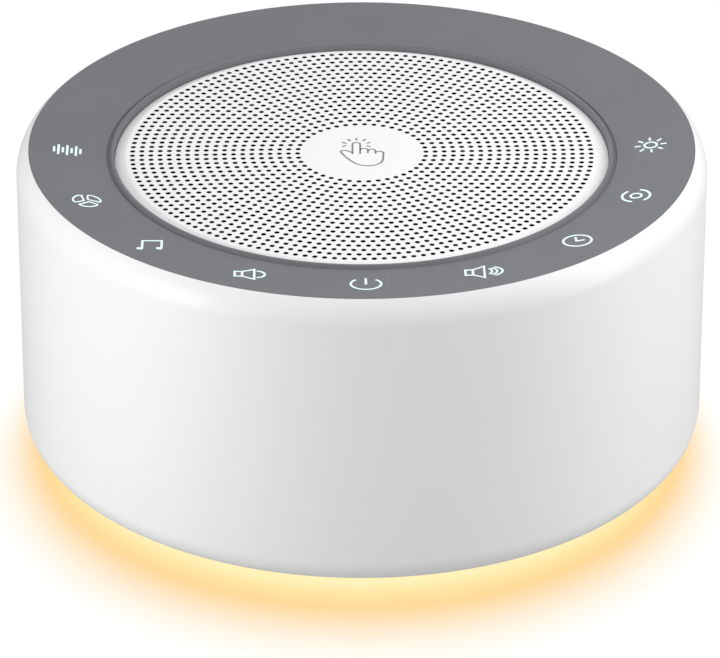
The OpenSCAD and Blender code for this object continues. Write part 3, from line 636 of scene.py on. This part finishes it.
def slotTool(v, name):
    # a bar with round sides that cuts the slot of that name into the drum's back
    width, tall, height = v[name + "Width"], v[name + "Tall"], v["inletHeight"]
    start, end = v["radius"] - v[name + "Depth"], v["radius"] + v["toolReach"]
    mesh = bmesh.new()
    steps = v["slotSteps"]
    outline = []
    for side in (1, -1):
        for i in range(steps + 1):
            a = math.pi * i / steps - math.pi / 2 + (0 if side > 0 else math.pi)
            outline.append((side * (width - tall) / 2 + tall / 2 * math.cos(a),
                            height + tall / 2 * math.sin(a)))
    near = [mesh.verts.new((x, start, z)) for x, z in outline]
    far = [mesh.verts.new((x, end, z)) for x, z in outline]
    mesh.faces.new(near)
    mesh.faces.new(far)
    for i in range(len(outline)):
        n = (i + 1) % len(outline)
        mesh.faces.new((near[i], near[n], far[n], far[i]))
    return finishMesh(name + "Tool", mesh)


def buildDrum(v):
    rimR, rimZ = v["rimCentre"]
    footR = v["radius"] - v["footRound"]
    footZ = v["bottom"] + v["footRound"]
    seatAngle = math.degrees(math.acos((v["panelSeat"] + v["seatBevel"] - rimR) / v["rimRound"]))
    seatTop = rimZ + math.sqrt(v["rimRound"] ** 2 - (v["panelSeat"] - rimR) ** 2)
    inner = v["rimRound"] - v["wall"]
    ledgeAngle = math.degrees(math.asin((v["ledgeBottom"] - rimZ) / inner))
    profile = [(v["opening"] + v["mouthBevel"], v["bottom"])]
    profile += arcPoints(footR, footZ, v["footRound"], -90, 0, v["footSteps"])
    wall = v["wallSteps"]
    profile += [(v["radius"], footZ + (rimZ - footZ) * i / wall) for i in range(1, wall)]
    profile += arcPoints(rimR, rimZ, v["rimRound"], 0, seatAngle, v["rimSteps"])
    profile += [(v["panelSeat"] + v["seatEase"], seatTop - v["seatEase"])]
    profile += [(v["panelSeat"], seatTop - v["seatBevel"])]
    profile += [(v["panelSeat"], v["ledgeTop"]), (v["ledgeRadius"], v["ledgeTop"])]
    profile += [(v["ledgeRadius"], v["ledgeBottom"])]
    profile += arcPoints(rimR, rimZ, inner, ledgeAngle, 0, v["innerRimSteps"])
    profile += arcPoints(footR, footZ, v["footRound"] - v["wall"], 0, -90, v["innerFootSteps"])
    profile += [(v["opening"], v["lipTop"]), (v["opening"], v["bottom"] + v["mouthBevel"])]
    drum = spinPiece("drumShell", profile, v["steps"])
    tools = [slotTool(v, "recess"), slotTool(v, "inlet")]
    for tool in tools:
        cut = drum.modifiers.new(tool.name, "BOOLEAN")
        cut.operation = "DIFFERENCE"
        cut.solver = "EXACT"
        cut.object = tool
    bakeModifiers(drum)
    shadeMesh(drum.data)
    for tool in tools:
        bpy.data.objects.remove(tool)
    placePiece(drum, "machine", "white_shell", finishes["whiteShell"], "outer_housing")


buildDrum(drumValues)
print("drum made")

# Touch panel

panelValues = {
    "well": 40.47, "wellOuter": 41.67, "lipTop": 52.51, "lipWidth": 1.03, "lipFlat": 0.5,
    "lipBase": 52.1, "lipRound": 0.18, "crease": 0.28, "creaseFrom": 0.91, "creaseTo": 1.11,
    "creaseEnd": 1.27, "creaseRise": 0.02, "creaseRound": 0.05, "edge": 54.4, "edgeTop": 53.75,
    "edgeRound": 0.16, "ledge": 51.95, "seat": 51.8, "underside": 50.6, "skirtBottom": 48.3,
    "steps": 288,
}


def panelHeight(x, y):
    # height of the dished face over the table
    v = panelValues
    start = v["well"] + v["lipWidth"]
    share = (math.hypot(x, y) - start) / (v["edge"] - start)
    return v["lipBase"] + share * (v["edgeTop"] - v["lipBase"])


def buildPanel(v):
    corners = [
        (v["well"], v["skirtBottom"], 0), (v["well"], v["lipTop"], v["lipRound"]),
        (v["well"] + v["lipFlat"], v["lipTop"], v["lipRound"]),
        (v["well"] + v["creaseFrom"], v["lipBase"] - v["crease"], v["creaseRound"]),
        (v["well"] + v["creaseTo"], v["lipBase"] - v["crease"], v["creaseRound"]),
        (v["well"] + v["creaseEnd"], v["lipBase"] + v["creaseRise"], 2 * v["creaseRound"]),
        (v["edge"], v["edgeTop"], v["edgeRound"]), (v["edge"], v["ledge"], 0),
        (v["seat"], v["ledge"], 0), (v["seat"], v["underside"], 0),
        (v["wellOuter"], v["underside"], 0), (v["wellOuter"], v["skirtBottom"], 0),
    ]
    panel = spinPiece("touchPanel", roundedCorners(corners), v["steps"])
    placePiece(panel, "machine", "grey_panel", finishes["greyPanel"], "touch_panel")


buildPanel(panelValues)
print("touch panel made")

# Grille

grilleValues = {
    "radius": 40.42, "shoulder": 1.95, "drop": 0.74, "edgeRound": 0.18, "face": 51.85,
    "thickness": 1.2, "skirtBottom": 48.3, "skirt": 1.4, "slopeStart": 0.12,
    "slopeRings": (0.2, 0.3), "pitch": 1.5, "firstRing": 7, "lastRing": 25, "holeDiameter": 0.88,
    "holeSides": 12, "turn": 0.9, "ribs": (9.75, 15.75, 21.75, 27.75, 33.75), "ribWidth": 0.5,
    "ribDepth": 0.9, "ribSteps": 144, "holeWeld": 0.002, "shoulderWeld": 0.003, "slopeRound": 0.4,
    "ribInto": 0.1, "sameRadius": 1e-4, "steps": 288,
}


def buildPerforationTree():
    # a flat disc with rings of holes: ring k has six times k holes, at k pitches from the centre
    tree = bpy.data.node_groups.new("perforatedPlate", "GeometryNodeTree")
    wanted = {
        "Geometry": ["Geometry"],
        "Int": ["Hole count", "First ring", "Hole sides", "Plate sides"],
        "Float": ["Ring pitch", "Hole radius", "Turn", "Plate radius", "Face height", "Thickness",
                  "Weld distance"],
        "Material": ["Finish"],
    }
    for kind, names in wanted.items():
        for name in names:
            tree.interface.new_socket(name=name, in_out="INPUT", socket_type="NodeSocket" + kind)
    tree.interface.new_socket(name="Geometry", in_out="OUTPUT", socket_type="NodeSocketGeometry")
    entry = tree.nodes.new("NodeGroupInput").outputs
    exit = tree.nodes.new("NodeGroupOutput")

    # which ring an index falls in, from the closed form of the sum of 6 k
    index = tree.nodes.new("GeometryNodeInputIndex").outputs[0]
    first = entry["First ring"]
    skipped = times(tree, times(tree, first, mathNode(tree, "SUBTRACT", first, 1)), 3)
    number = plus(tree, index, skipped)
    spread = times(tree, plus(tree, number, 0.5), 4 / 3)
    root = mathNode(tree, "SQRT", plus(tree, spread, 1))
    ring = mathNode(tree, "FLOOR", mathNode(tree, "DIVIDE", plus(tree, root, 1), 2))
    before = times(tree, times(tree, ring, mathNode(tree, "SUBTRACT", ring, 1)), 3)
    step = mathNode(tree, "DIVIDE", mathNode(tree, "SUBTRACT", number, before), ring)
    angle = plus(tree, times(tree, step, math.pi / 3), entry["Turn"])
    radius = times(tree, ring, entry["Ring pitch"])
    position = treeNode(
        tree, "ShaderNodeCombineXYZ",
        X=times(tree, radius, mathNode(tree, "COSINE", angle)),
        Y=times(tree, radius, mathNode(tree, "SINE", angle)),
        Z=entry["Face height"],
    ).outputs[0]
    points = treeNode(tree, "GeometryNodePoints", Count=entry["Hole count"], Position=position)

    circle = "GeometryNodeCurvePrimitiveCircle"
    hole = treeNode(tree, circle, Resolution=entry["Hole sides"], Radius=entry["Hole radius"])
    placed = treeNode(
        tree, "GeometryNodeInstanceOnPoints", Points=points.outputs[0], Instance=hole.outputs[0])
    holes = treeNode(tree, "GeometryNodeRealizeInstances", Geometry=placed.outputs[0]).outputs[0]

    rim = treeNode(tree, circle, Resolution=entry["Plate sides"], Radius=entry["Plate radius"])
    outline = tree.nodes.new("GeometryNodeJoinGeometry")
    tree.links.new(holes, outline.inputs[0])
    tree.links.new(rim.outputs[0], outline.inputs[0])
    # a fill comes out at height 0, so it is lifted to the face and again to the underside
    flat = treeNode(tree, "GeometryNodeFillCurve", Curve=outline.outputs[0]).outputs[0]
    lift = treeNode(tree, "ShaderNodeCombineXYZ", Z=entry["Face height"]).outputs[0]
    filled = treeNode(tree, "GeometryNodeTransform", Geometry=flat, Translation=lift).outputs[0]
    down = times(tree, entry["Thickness"], -1)
    drop = treeNode(tree, "ShaderNodeCombineXYZ", Z=down).outputs[0]
    under = treeNode(tree, "GeometryNodeTransform", Geometry=filled, Translation=drop).outputs[0]

    loops = treeNode(tree, "GeometryNodeCurveToMesh", Curve=holes).outputs[0]
    walls = treeNode(tree, "GeometryNodeExtrudeMesh", Mesh=loops, Offset=drop, Offset_Scale=1.0)
    walls.mode = "EDGES"

    whole = tree.nodes.new("GeometryNodeJoinGeometry")
    for part in (filled, under, walls.outputs["Mesh"]):
        tree.links.new(part, whole.inputs[0])
    merged = treeNode(
        tree, "GeometryNodeMergeByDistance", Geometry=whole.outputs[0],
        Distance=entry["Weld distance"])
    realized = treeNode(tree, "GeometryNodeRealizeInstances", Geometry=merged.outputs[0])
    finish = treeNode(
        tree, "GeometryNodeSetMaterial", Geometry=realized.outputs[0], Material=entry["Finish"])
    tree.links.new(finish.outputs[0], exit.inputs[0])
    return tree


def buildGrille(v):
    ringSum = sum(6 * k for k in range(v["firstRing"], v["lastRing"] + 1))
    flatRadius = v["radius"] - v["shoulder"]
    plate = bpy.data.objects.new("grillePlate", bpy.data.meshes.new("grillePlate"))
    bpy.context.scene.collection.objects.link(plate)
    tree = buildPerforationTree()
    drilled = plate.modifiers.new("perforations", "NODES")
    drilled.node_group = tree
    settings = {
        "Hole count": ringSum, "First ring": v["firstRing"], "Ring pitch": v["pitch"] * mm,
        "Hole radius": v["holeDiameter"] / 2 * mm, "Hole sides": v["holeSides"],
        "Turn": math.radians(v["turn"]), "Plate radius": flatRadius * mm,
        "Plate sides": v["steps"], "Face height": v["face"] * mm,
        "Thickness": v["thickness"] * mm, "Weld distance": v["holeWeld"] * mm,
        "Finish": finishes["whiteGrille"],
    }
    for item in tree.interface.items_tree:
        if item.in_out == "INPUT" and item.name in settings:
            drilled[item.identifier] = settings[item.name]
    bakeModifiers(plate)

    # the sloping shoulder, the skirt and the ribs underneath join the plate's edge
    mesh = bmesh.new()
    mesh.from_mesh(plate.data)
    bmesh.ops.scale(mesh, vec=(1 / mm, 1 / mm, 1 / mm), verts=mesh.verts)
    under = v["face"] - v["thickness"]
    inner = v["radius"] - v["skirt"]
    start = flatRadius + v["slopeStart"]
    slope = v["drop"] / (v["radius"] - start)
    # two more rings keep the slope's shading even from edge to edge
    first, last = v["slopeRings"]
    profile = roundedCorners([
        (flatRadius, v["face"], 0), (start, v["face"], v["slopeRound"]),
        (start + first, v["face"] - first * slope, 0),
        (v["radius"] - last, v["face"] - v["drop"] + last * slope, 0),
        (v["radius"], v["face"] - v["drop"], v["edgeRound"]), (v["radius"], v["skirtBottom"], 0),
        (inner, v["skirtBottom"], 0), (inner, under, 0), (flatRadius, under, 0),
    ])
    before = len(mesh.faces)
    addSpin(mesh, profile, v["steps"])
    mesh.faces.ensure_lookup_table()
    # the band that closed the profile would be a wall inside the plate
    close = v["sameRadius"]
    inside = [f for f in mesh.faces[before:]
              if all(abs(math.hypot(c.co.x, c.co.y) - flatRadius) < close for c in f.verts)]
    bmesh.ops.delete(mesh, geom=inside, context="FACES_ONLY")
    bmesh.ops.remove_doubles(mesh, verts=mesh.verts, dist=v["shoulderWeld"])
    for r in v["ribs"]:
        near, far = r - v["ribWidth"] / 2, r + v["ribWidth"] / 2
        high, low = under + v["ribInto"], under - v["ribDepth"]
        addSpin(mesh, [(near, high), (near, low), (far, low), (far, high)], v["ribSteps"])
    bpy.data.objects.remove(plate)
    grille = finishMesh("speakerGrille", mesh)
    placePiece(grille, "machine", "white_grille", finishes["whiteGrille"], "speaker_grille")
    print("grille made:", ringSum, "holes,", len(grille.data.polygons), "faces")


buildGrille(grilleValues)

# Dust cloth behind the holes

clothValues = {
    "inner": 8.25, "outer": 38.5, "top": 49.75, "thickness": 0.3, "sag": 0.1, "firstRib": 9.75,
    "ribStep": 6.0, "rings": 60, "steps": 144,
}


def buildDustCloth(v):
    # cut as a flat ring and stretched under the grille's ribs, with a little slack between them
    width = v["outer"] - v["inner"]
    radii = [v["inner"] + width * i / v["rings"] for i in range(v["rings"] + 1)]
    drops = [v["sag"] * abs(math.sin(math.pi * (r - v["firstRib"]) / v["ribStep"])) for r in radii]
    upper = [(r, v["top"] - drop) for r, drop in zip(radii, drops)]
    lower = [(r, z - v["thickness"]) for r, z in reversed(upper)]
    cloth = spinPiece("dustCloth", upper + lower, v["steps"])
    placePiece(cloth, "machine", "dust_cloth", finishes["dustCloth"], "grille_cloth")


buildDustCloth(clothValues)
print("dust cloth made")

# Lit symbols on the panel, and the tap mark on the grille

symbolValues = {
    "circle": 47.69, "centre": (-0.42, -0.3), "turn": 0.36, "step": 22.5, "lift": 0.03,
    "depth": 0.06, "stroke": 0.37, "headLift": 0.034, "size": 1.0,
}
tapMarkValues = {"lift": 0.02, "depth": 0.05, "stroke": 0.3, "rayStroke": 0.33, "scale": 1.0}


def smoothCurve(points, steps=8, closed=False):
    result = []
    count = len(points)
    last = count if closed else count - 1
    for i in range(last):
        p0 = points[(i - 1) % count] if closed or i > 0 else points[0]
        p1, p2 = points[i], points[(i + 1) % count]
        p3 = points[(i + 2) % count] if closed or i + 2 < count else points[-1]
        for s in range(steps):
            t = s / steps
            result.append(tuple(
                0.5 * (2 * b + (c - a) * t + (2 * a - 5 * b + 4 * c - d) * t * t
                       + (3 * b - a - 3 * c + d) * t ** 3)
                for a, b, c, d in zip(p0, p1, p2, p3)))
    if not closed:
        result.append(points[-1])
    return result


def circlePoints(x, y, radius, steps=44, tall=None):
    return arcPoints(x, y, radius, 0, 360, steps, tall)[:-1]


def addStroke(mesh, points, width, place, lift, depth, closed=False):
    # a flat line with mitred corners: four edges along it, laid on a surface by place()
    count = len(points)
    rails = []
    for i, (x, y) in enumerate(points):
        ahead = points[(i + 1) % count] if closed or i + 1 < count else None
        behind = points[i - 1] if closed or i > 0 else None
        directions = []
        for a, b in ((behind, (x, y)), ((x, y), ahead)):
            if a and b:
                length = math.hypot(b[0] - a[0], b[1] - a[1]) or 1
                directions.append(((b[0] - a[0]) / length, (b[1] - a[1]) / length))
        dx = sum(d[0] for d in directions)
        dy = sum(d[1] for d in directions)
        length = math.hypot(dx, dy) or 1
        nx, ny = -dy / length, dx / length
        turnShare = max(0.5, abs(nx * -directions[0][1] + ny * directions[0][0]))
        half = width / 2 / turnShare
        corners = []
        for side, top in ((1, True), (-1, True), (-1, False), (1, False)):
            px, py, pz = place(x + side * nx * half, y + side * ny * half)
            corners.append(mesh.verts.new((px, py, pz + (lift if top else -depth))))
        rails.append(corners)
    pairs = list(zip(rails, rails[1:] + ([rails[0]] if closed else [])))
    for a, b in pairs[:count if closed else count - 1]:
        for k in range(4):
            n = (k + 1) % 4
            mesh.faces.new((a[k], a[n], b[n], b[k]))
    if not closed:
        mesh.faces.new(rails[0])
        mesh.faces.new(list(reversed(rails[-1])))


def addPatch(mesh, outline, place, lift, depth):
    tops = []
    bottoms = []
    for x, y in outline:
        px, py, pz = place(x, y)
        tops.append(mesh.verts.new((px, py, pz + lift)))
        bottoms.append(mesh.verts.new((px, py, pz - depth)))
    mesh.faces.new(tops)
    mesh.faces.new(bottoms)
    for i in range(len(tops)):
        n = (i + 1) % len(tops)
        mesh.faces.new((tops[i], tops[n], bottoms[n], bottoms[i]))


def speakerLines(left, middle, right, low, high):
    # a loudspeaker from the side: a box and a horn
    box = [(left, low), (left, -low), (middle, -low), (middle, low)]
    horn = [(middle, low), (right, high), (right, -high), (middle, -low)]
    return [(box, True), (horn, True)]


def symbolShapes():
    # each symbol as open or closed lines in mm, +Y away from the user, in order round the panel
    bars = []
    for i in range(7):
        x, tall = (i - 3) * 0.714, (1.8, 3.5)[i % 2]
        bars.append(([(x, -tall / 2), (x, tall / 2)], False, 0.38))
    blade = [(0.5, 76), (1.1, 90), (1.7, 93), (2.1, 90), (2.24, 72), (2.25, 45), (2.25, 20),
             (2.05, 1), (1.5, 9), (0.95, 17), (0.62, 40)]
    fan = []
    for turn in (-5, 115, 235):
        polar = [(r, math.radians(a + turn)) for r, a in blade]
        outline = [(r * math.cos(a), r * math.sin(a)) for r, a in polar]
        fan.append((smoothCurve(outline, 5, True), True, 0.3))
    notes = [([(-1.24, -1.8), (-1.24, 1.31), (1.8, 1.92), (1.8, -1.2)], False, 0.36)]
    noteHeads = [circlePoints(x, y, 0.52, 20, 0.42) for x, y in ((-1.62, -1.92), (1.42, -1.33))]
    quiet = speakerLines(-2.16, -1.0, 0.9, 1.0, 2.1)
    quiet.append((arcPoints(1.2, 0.05, 1.35, 88, -88, tall=1.4), False))
    power = [(arcPoints(0, 0, 2.38, 131, 409, 50), False)]
    power.append(([(0, -0.2), (0, 2.4)], False, 0.38))
    loud = speakerLines(-2.62, -1.45, 0.34, 1.12, 2.4)
    for across, tall, end in ((0.58, 1.13, 84), (1.4, 1.5, 68), (2.25, 2.0, 64)):
        loud.append((arcPoints(0.94, 0.15, across, end, -end, 16, tall), False, 0.35))
    clock = [(circlePoints(0, 0, 2.24), True), ([(-0.25, 1.5), (-0.15, -0.15), (1.15, 0.1)], False)]
    ripple = [
        (circlePoints(0, 0, 0.88, 24), True),
        (arcPoints(0, 0, 2.24, 120, 250), False, 0.4),
        (arcPoints(0, 0, 2.24, 70, -62), False, 0.4),
    ]
    sun = [(circlePoints(0, 0, 1.02, 28), True)]
    for k in range(8):
        c, s = math.cos(k * math.pi / 4), math.sin(k * math.pi / 4)
        sun.append(([(1.62 * c, 1.62 * s), (2.62 * c, 2.62 * s)], False))
    order = [bars, fan, notes, quiet, power, loud, clock, ripple, sun]
    return order, {2: noteHeads}


def buildSymbols(v):
    mesh = bmesh.new()
    order, patches = symbolShapes()
    for i, shapes in enumerate(order):
        angle = math.radians(180 + v["turn"] + i * v["step"])
        cx = v["centre"][0] + v["circle"] * math.cos(angle)
        cy = v["centre"][1] + v["circle"] * math.sin(angle)

        def place(x, y, cx=cx, cy=cy):
            px, py = cx + x * v["size"], cy + y * v["size"]
            return px, py, panelHeight(px, py)

        for shape in shapes:
            width = shape[2] if len(shape) > 2 else v["stroke"]
            addStroke(mesh, shape[0], width, place, v["lift"], v["depth"], shape[1])
        for outline in patches.get(i, []):
            addPatch(mesh, outline, place, v["headLift"], v["depth"])
    symbols = finishMesh("touchSymbols", mesh)
    placePiece(symbols, "machine", "grey_panel", finishes["symbolLight"])


def buildTapMark(v):
    # a hand with one finger out and marks round its tip, in thin grey lines
    lines = [
        [(-1.52, -0.52), (-1.47, 2.97), (-1.28, 3.49), (-0.85, 3.69), (-0.41, 3.48),
         (-0.23, 2.95), (-0.29, -0.48)],
        [(-1.57, -0.06), (-2.12, 0.47), (-2.61, 0.72), (-2.98, 0.79), (-3.33, 0.65),
         (-3.45, 0.33), (-3.24, -0.3), (-2.64, -1.62), (-1.8, -3.01), (-1.05, -4.0),
         (-0.23, -4.6), (0.63, -4.85), (1.48, -4.82), (2.35, -4.45), (3.1, -3.67), (3.39, -2.76),
         (3.49, -1.46), (3.54, -0.28), (3.35, 0.23), (2.93, 0.39), (2.3, 0.2)],
        [(-0.24, 0.97), (-0.01, 1.33), (0.31, 1.49), (0.67, 1.45), (0.92, 1.21), (1.01, 0.75),
         (0.97, -0.17)],
        [(1.02, 0.7), (1.4, 1.1), (1.77, 1.17), (2.08, 0.96), (2.23, 0.4), (2.26, -0.45)],
    ]
    rays = [
        [(-0.81, 4.55), (-0.8, 5.25)], [(-2.2, 4.95), (-1.82, 4.22)], [(0.72, 4.9), (0.25, 4.22)],
        [(-3.18, 3.8), (-2.46, 3.36)], [(-3.2, 2.2), (-2.5, 2.55)], [(1.47, 3.7), (0.8, 3.36)],
        [(0.78, 2.47), (1.45, 2.14)],
    ]
    mesh = bmesh.new()
    flat = grilleValues["face"]

    def place(x, y):
        return x * v["scale"], y * v["scale"], flat

    for line in lines:
        addStroke(mesh, smoothCurve(line), v["stroke"], place, v["lift"], v["depth"])
    for ray in rays:
        addStroke(mesh, ray, v["rayStroke"], place, v["lift"], v["depth"])
    mark = finishMesh("tapMark", mesh)
    placePiece(mark, "machine", "white_grille", finishes["markInk"])


buildSymbols(symbolValues)
buildTapMark(tapMarkValues)
print("symbols made")

# Soft rings of the loudspeaker: they stretch between the frame and the cone

softRingValues = {
    "surround": {
        "inner": 22.6, "outer": 25.9, "outerLip": 28.1, "innerLip": 21.4, "base": 45.05,
        "thickness": 0.35, "rollArc": (172, 8), "rollSteps": 16},
    "spider": {
        "inner": 10.25, "outer": 19.8, "flat": 3.0, "height": 37.85, "thickness": 0.35,
        "wave": 0.55, "waves": 3, "waveSteps": 48},
    "steps": 144,
}


def blendAcross(piece, inner, outer):
    # 0 at the outer edge, which stays, and 1 at the inner edge, which moves with the cone
    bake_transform(piece, "machine", "cone_assembly", (0, 0, 0), (0, 0, 1))
    weights = []
    for vertex in piece.data.vertices:
        r = math.hypot(vertex.co.x, vertex.co.y) / mm
        t = max(0.0, min(1.0, (outer - r) / (outer - inner)))
        weights.append(t * t * (3 - 2 * t))
    piece.data.attributes["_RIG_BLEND"].data.foreach_set("value", weights)


def buildSoftRings(v):
    s = v["surround"]
    middle = (s["inner"] + s["outer"]) / 2
    roll = (s["outer"] - s["inner"]) / 2
    half = s["thickness"] / 2
    top, base = s["base"] + s["thickness"], s["base"]
    profile = [(s["innerLip"], base), (s["innerLip"], top)]
    profile += arcPoints(middle, base + half, roll + half, *s["rollArc"], s["rollSteps"])
    profile += [(s["outerLip"], top), (s["outerLip"], base)]
    profile += arcPoints(middle, base + half, roll - half, 0, 180, s["rollSteps"])
    ring = spinPiece("surroundRoll", profile, v["steps"])
    blendAcross(ring, s["inner"], s["outer"])
    placePiece(ring, "machine", "soft_rubber", finishes["softRubber"], "surround")
    p = v["spider"]
    run = p["outer"] - p["flat"] - p["inner"]
    shares = [i / p["waveSteps"] for i in range(p["waveSteps"] + 1)]
    turns = 2 * math.pi * p["waves"]
    line = [(p["inner"] + run * t, p["wave"] * math.sin(turns * t)) for t in shares]
    middleZ = p["height"] + p["thickness"] / 2
    profile = [(r, middleZ + z + p["thickness"] / 2) for r, z in line]
    profile += [(p["outer"], p["height"] + p["thickness"]), (p["outer"], p["height"])]
    profile += [(r, middleZ + z - p["thickness"] / 2) for r, z in reversed(line)]
    disc = spinPiece("spiderDisc", profile, v["steps"])
    blendAcross(disc, p["inner"], p["outer"] - p["flat"])
    placePiece(disc, "machine", "spider_cloth", finishes["spiderCloth"], "spider")


buildSoftRings(softRingValues)
print("soft rings made")

# Every CAD node gets a finish, also those that a piece above stands for

nodeFinishes = {
    "panel_tape": "tape", "touch_board": "greenBoard", "icon_leds": "lamp",
    "touch_chip": "chipBlack", "grille_cloth": "dustCloth", "centre_touch_pad": "copperFoil",
    "inner_frame": "innerPlastic", "frame_screws": "screwSteel", "speaker_gasket": "foam",
    "speaker_basket": "speakerSteel", "speaker_screws": "screwSteel",
    "speaker_top_plate": "screwSteel", "speaker_magnet": "ferrite", "speaker_yoke": "screwSteel",
    "speaker_cone": "conePaper", "dust_cap": "capCloth", "voice_coil": "copperWinding",
    "speaker_terminals": "fibreBoard", "speaker_leads": "wireSleeve", "main_board": "greenBoard",
    "board_screws": "screwSteel", "usb_c_port": "portSteel", "board_chips": "chipBlack",
    "capacitors": "canAluminium", "lead_sockets": "socketPlastic",
    "ribbon_socket": "socketPlastic", "touch_ribbon": "ribbonFilm",
    "night_light_board": "whiteBoard", "night_light_leds": "lamp",
    "night_light_leads": "wireSleeve", "light_ring": "nightLight", "base_plate": "basePlastic",
    "base_screws": "screwSteel", "rubber_feet": "softRubber", "outer_housing": "whiteShell",
    "touch_panel": "greyPanel", "speaker_grille": "whiteGrille", "surround": "softRubber",
    "spider": "spiderCloth",
}
for nodeName, finishName in nodeFinishes.items():
    slots = nodes[nodeName].data.materials
    slots.clear()
    slots.append(finishes[finishName])
print("CAD nodes dressed:", len(nodeFinishes))

# Floor, with the night light's glow painted on it

floorValues = {
    "half": 3.0,   # in m, as the floor is far larger than the drum
    # distance from the drum's axis in mm, and the colour of the glow painted on the floor there
    "glow": [
        (50.0, (255, 240, 185)), (54.0, (254, 227, 161)), (57.5, (253, 217, 153)),
        (60.0, (254, 220, 171)), (64.0, (254, 232, 202)), (69.0, (254, 245, 230)),
        (75.0, (255, 252, 249)), (79.0, (255, 255, 255))],
    "narrowingLeft": 1.15, "narrowingRight": 1.5, "narrowingPower": 1.3, "narrowingReach": 1.2,
    "narrowingSpan": 0.5, "emission": 1.0, "albedo": 0.03, "roughness": 0.9, "lightOnDrum": 0.45,
}


def buildFloor(v):
    mesh = bmesh.new()
    corners = ((-1, -1), (1, -1), (1, 1), (-1, 1))
    mesh.faces.new([mesh.verts.new((x * v["half"], y * v["half"], 0)) for x, y in corners])
    data = bpy.data.meshes.new("studioFloor")
    mesh.to_mesh(data)
    mesh.free()
    floor = bpy.data.objects.new("studioFloor", data)
    bpy.context.scene.collection.objects.link(floor)
    material, tree, shader = newMaterial("paleFloorPaintedGlow")
    x, y, z = splitVector(tree, placeOf(tree))
    square = plus(tree, times(tree, x, x), times(tree, y, y))
    radius = mathNode(tree, "SQRT", square)
    away = mathNode(tree, "MAXIMUM", radius, mm)
    frontness = mathNode(tree, "DIVIDE", times(tree, y, -1.0), away)
    # the painted glow reaches furthest at the front and falls off faster towards the back
    aside = rangeNode(tree, frontness, 1.0 - v["narrowingReach"], 1.0, v["narrowingReach"], 0.0)
    sideways = mathNode(tree, "DIVIDE", x, away)
    span = v["narrowingSpan"]
    narrowing = rangeNode(
        tree, sideways, -span, span, v["narrowingLeft"], v["narrowingRight"])
    faster = times(tree, mathNode(tree, "POWER", aside, v["narrowingPower"]), narrowing)
    beyond = mathNode(tree, "SUBTRACT", radius, v["glow"][0][0] * mm)
    reach = plus(tree, radius, times(tree, beyond, faster))
    # the night light's glow, painted on the floor as a ramp of colours by distance from the drum
    paintedGlow = tree.nodes.new("ShaderNodeValToRGB")
    low, high = v["glow"][0][0], v["glow"][-1][0]
    share = rangeNode(tree, reach, low * mm, high * mm, 0.0, 1.0)
    tree.links.new(share, paintedGlow.inputs[0])
    while len(paintedGlow.color_ramp.elements) < len(v["glow"]):
        paintedGlow.color_ramp.elements.new(0.5)
    for element, (distance, colour) in zip(paintedGlow.color_ramp.elements, v["glow"]):
        element.position = (distance - low) / (high - low)
        element.color = fromScreen(*colour)
    # the eye sees the painted glow, and the drum is lit by a plain pale floor
    seen = tree.nodes.new("ShaderNodeLightPath").outputs["Is Camera Ray"]
    pale = (v["lightOnDrum"],) * 3 + (1,)
    lit = mixColour(tree, seen, pale, paintedGlow.outputs[0])
    dark = (v["albedo"],) * 3 + (1,)
    setSockets(
        tree, shader, Base_Color=mixColour(tree, 1.0, paintedGlow.outputs[0], dark, "MULTIPLY"),
        Emission_Color=lit, Emission_Strength=v["emission"], Roughness=v["roughness"],
        Specular_IOR_Level=0.0)
    # clear from below, so that the underside can be looked at
    below = tree.nodes.new("ShaderNodeNewGeometry").outputs["Backfacing"]
    clear = tree.nodes.new("ShaderNodeBsdfTransparent").outputs[0]
    surface = mixShaders(tree, below, shader.outputs[0], clear)
    setSockets(tree, tree.nodes["Material Output"], Surface=surface)
    floor.data.materials.append(material)


buildFloor(floorValues)

studioValues = {
    "world": 0.732, "worldColour": (0.99, 0.99, 0.99, 1), "aimHeight": 30,
    "lights": {
        "leftStrip": {
            "angle": -53, "height": 20, "distance": 180, "size": (60, 200), "power": 0.154},
        "rightStrip": {
            "angle": 70, "height": 60, "distance": 180, "size": (60, 300), "power": 0.15},
        "topRight": {
            "angle": 90, "height": 165, "distance": 41, "size": (80, 80), "power": 0.032},
    },
}


def buildStudio(v):
    scene = bpy.context.scene
    scene.view_settings.view_transform = "Standard"
    world = bpy.data.worlds.new("studioAir")
    scene.world = world
    world.use_nodes = True
    tree = world.node_tree
    # the eye sees pure white behind the drum, and the drum is lit by a dimmer air
    backdrop = setSockets(tree, tree.nodes["Background"], Color=(1, 1, 1, 1), Strength=1.0)
    air = treeNode(tree, "ShaderNodeBackground", Color=v["worldColour"], Strength=v["world"])
    seen = tree.nodes.new("ShaderNodeLightPath").outputs["Is Camera Ray"]
    surface = mixShaders(tree, seen, air.outputs[0], backdrop.outputs[0])
    setSockets(tree, tree.nodes["World Output"], Surface=surface)
    for name, light in v["lights"].items():
        data = bpy.data.lights.new(name, "AREA")
        data.shape = "RECTANGLE"
        data.size = light["size"][0] * mm
        data.size_y = light["size"][1] * mm
        data.energy = light["power"]
        lamp = bpy.data.objects.new(name, data)
        lamp.visible_camera = False
        angle = math.radians(light["angle"])
        x, y = light["distance"] * math.sin(angle), -light["distance"] * math.cos(angle)
        z = light["height"]
        lamp.location = (x * mm, y * mm, z * mm)
        # turned to face the drum
        tilt = math.atan2(math.hypot(x, y), z - v["aimHeight"])
        lamp.rotation_euler = (tilt, 0, math.atan2(y, x) + math.pi / 2)
        scene.collection.objects.link(lamp)


buildStudio(studioValues)
print("studio made")
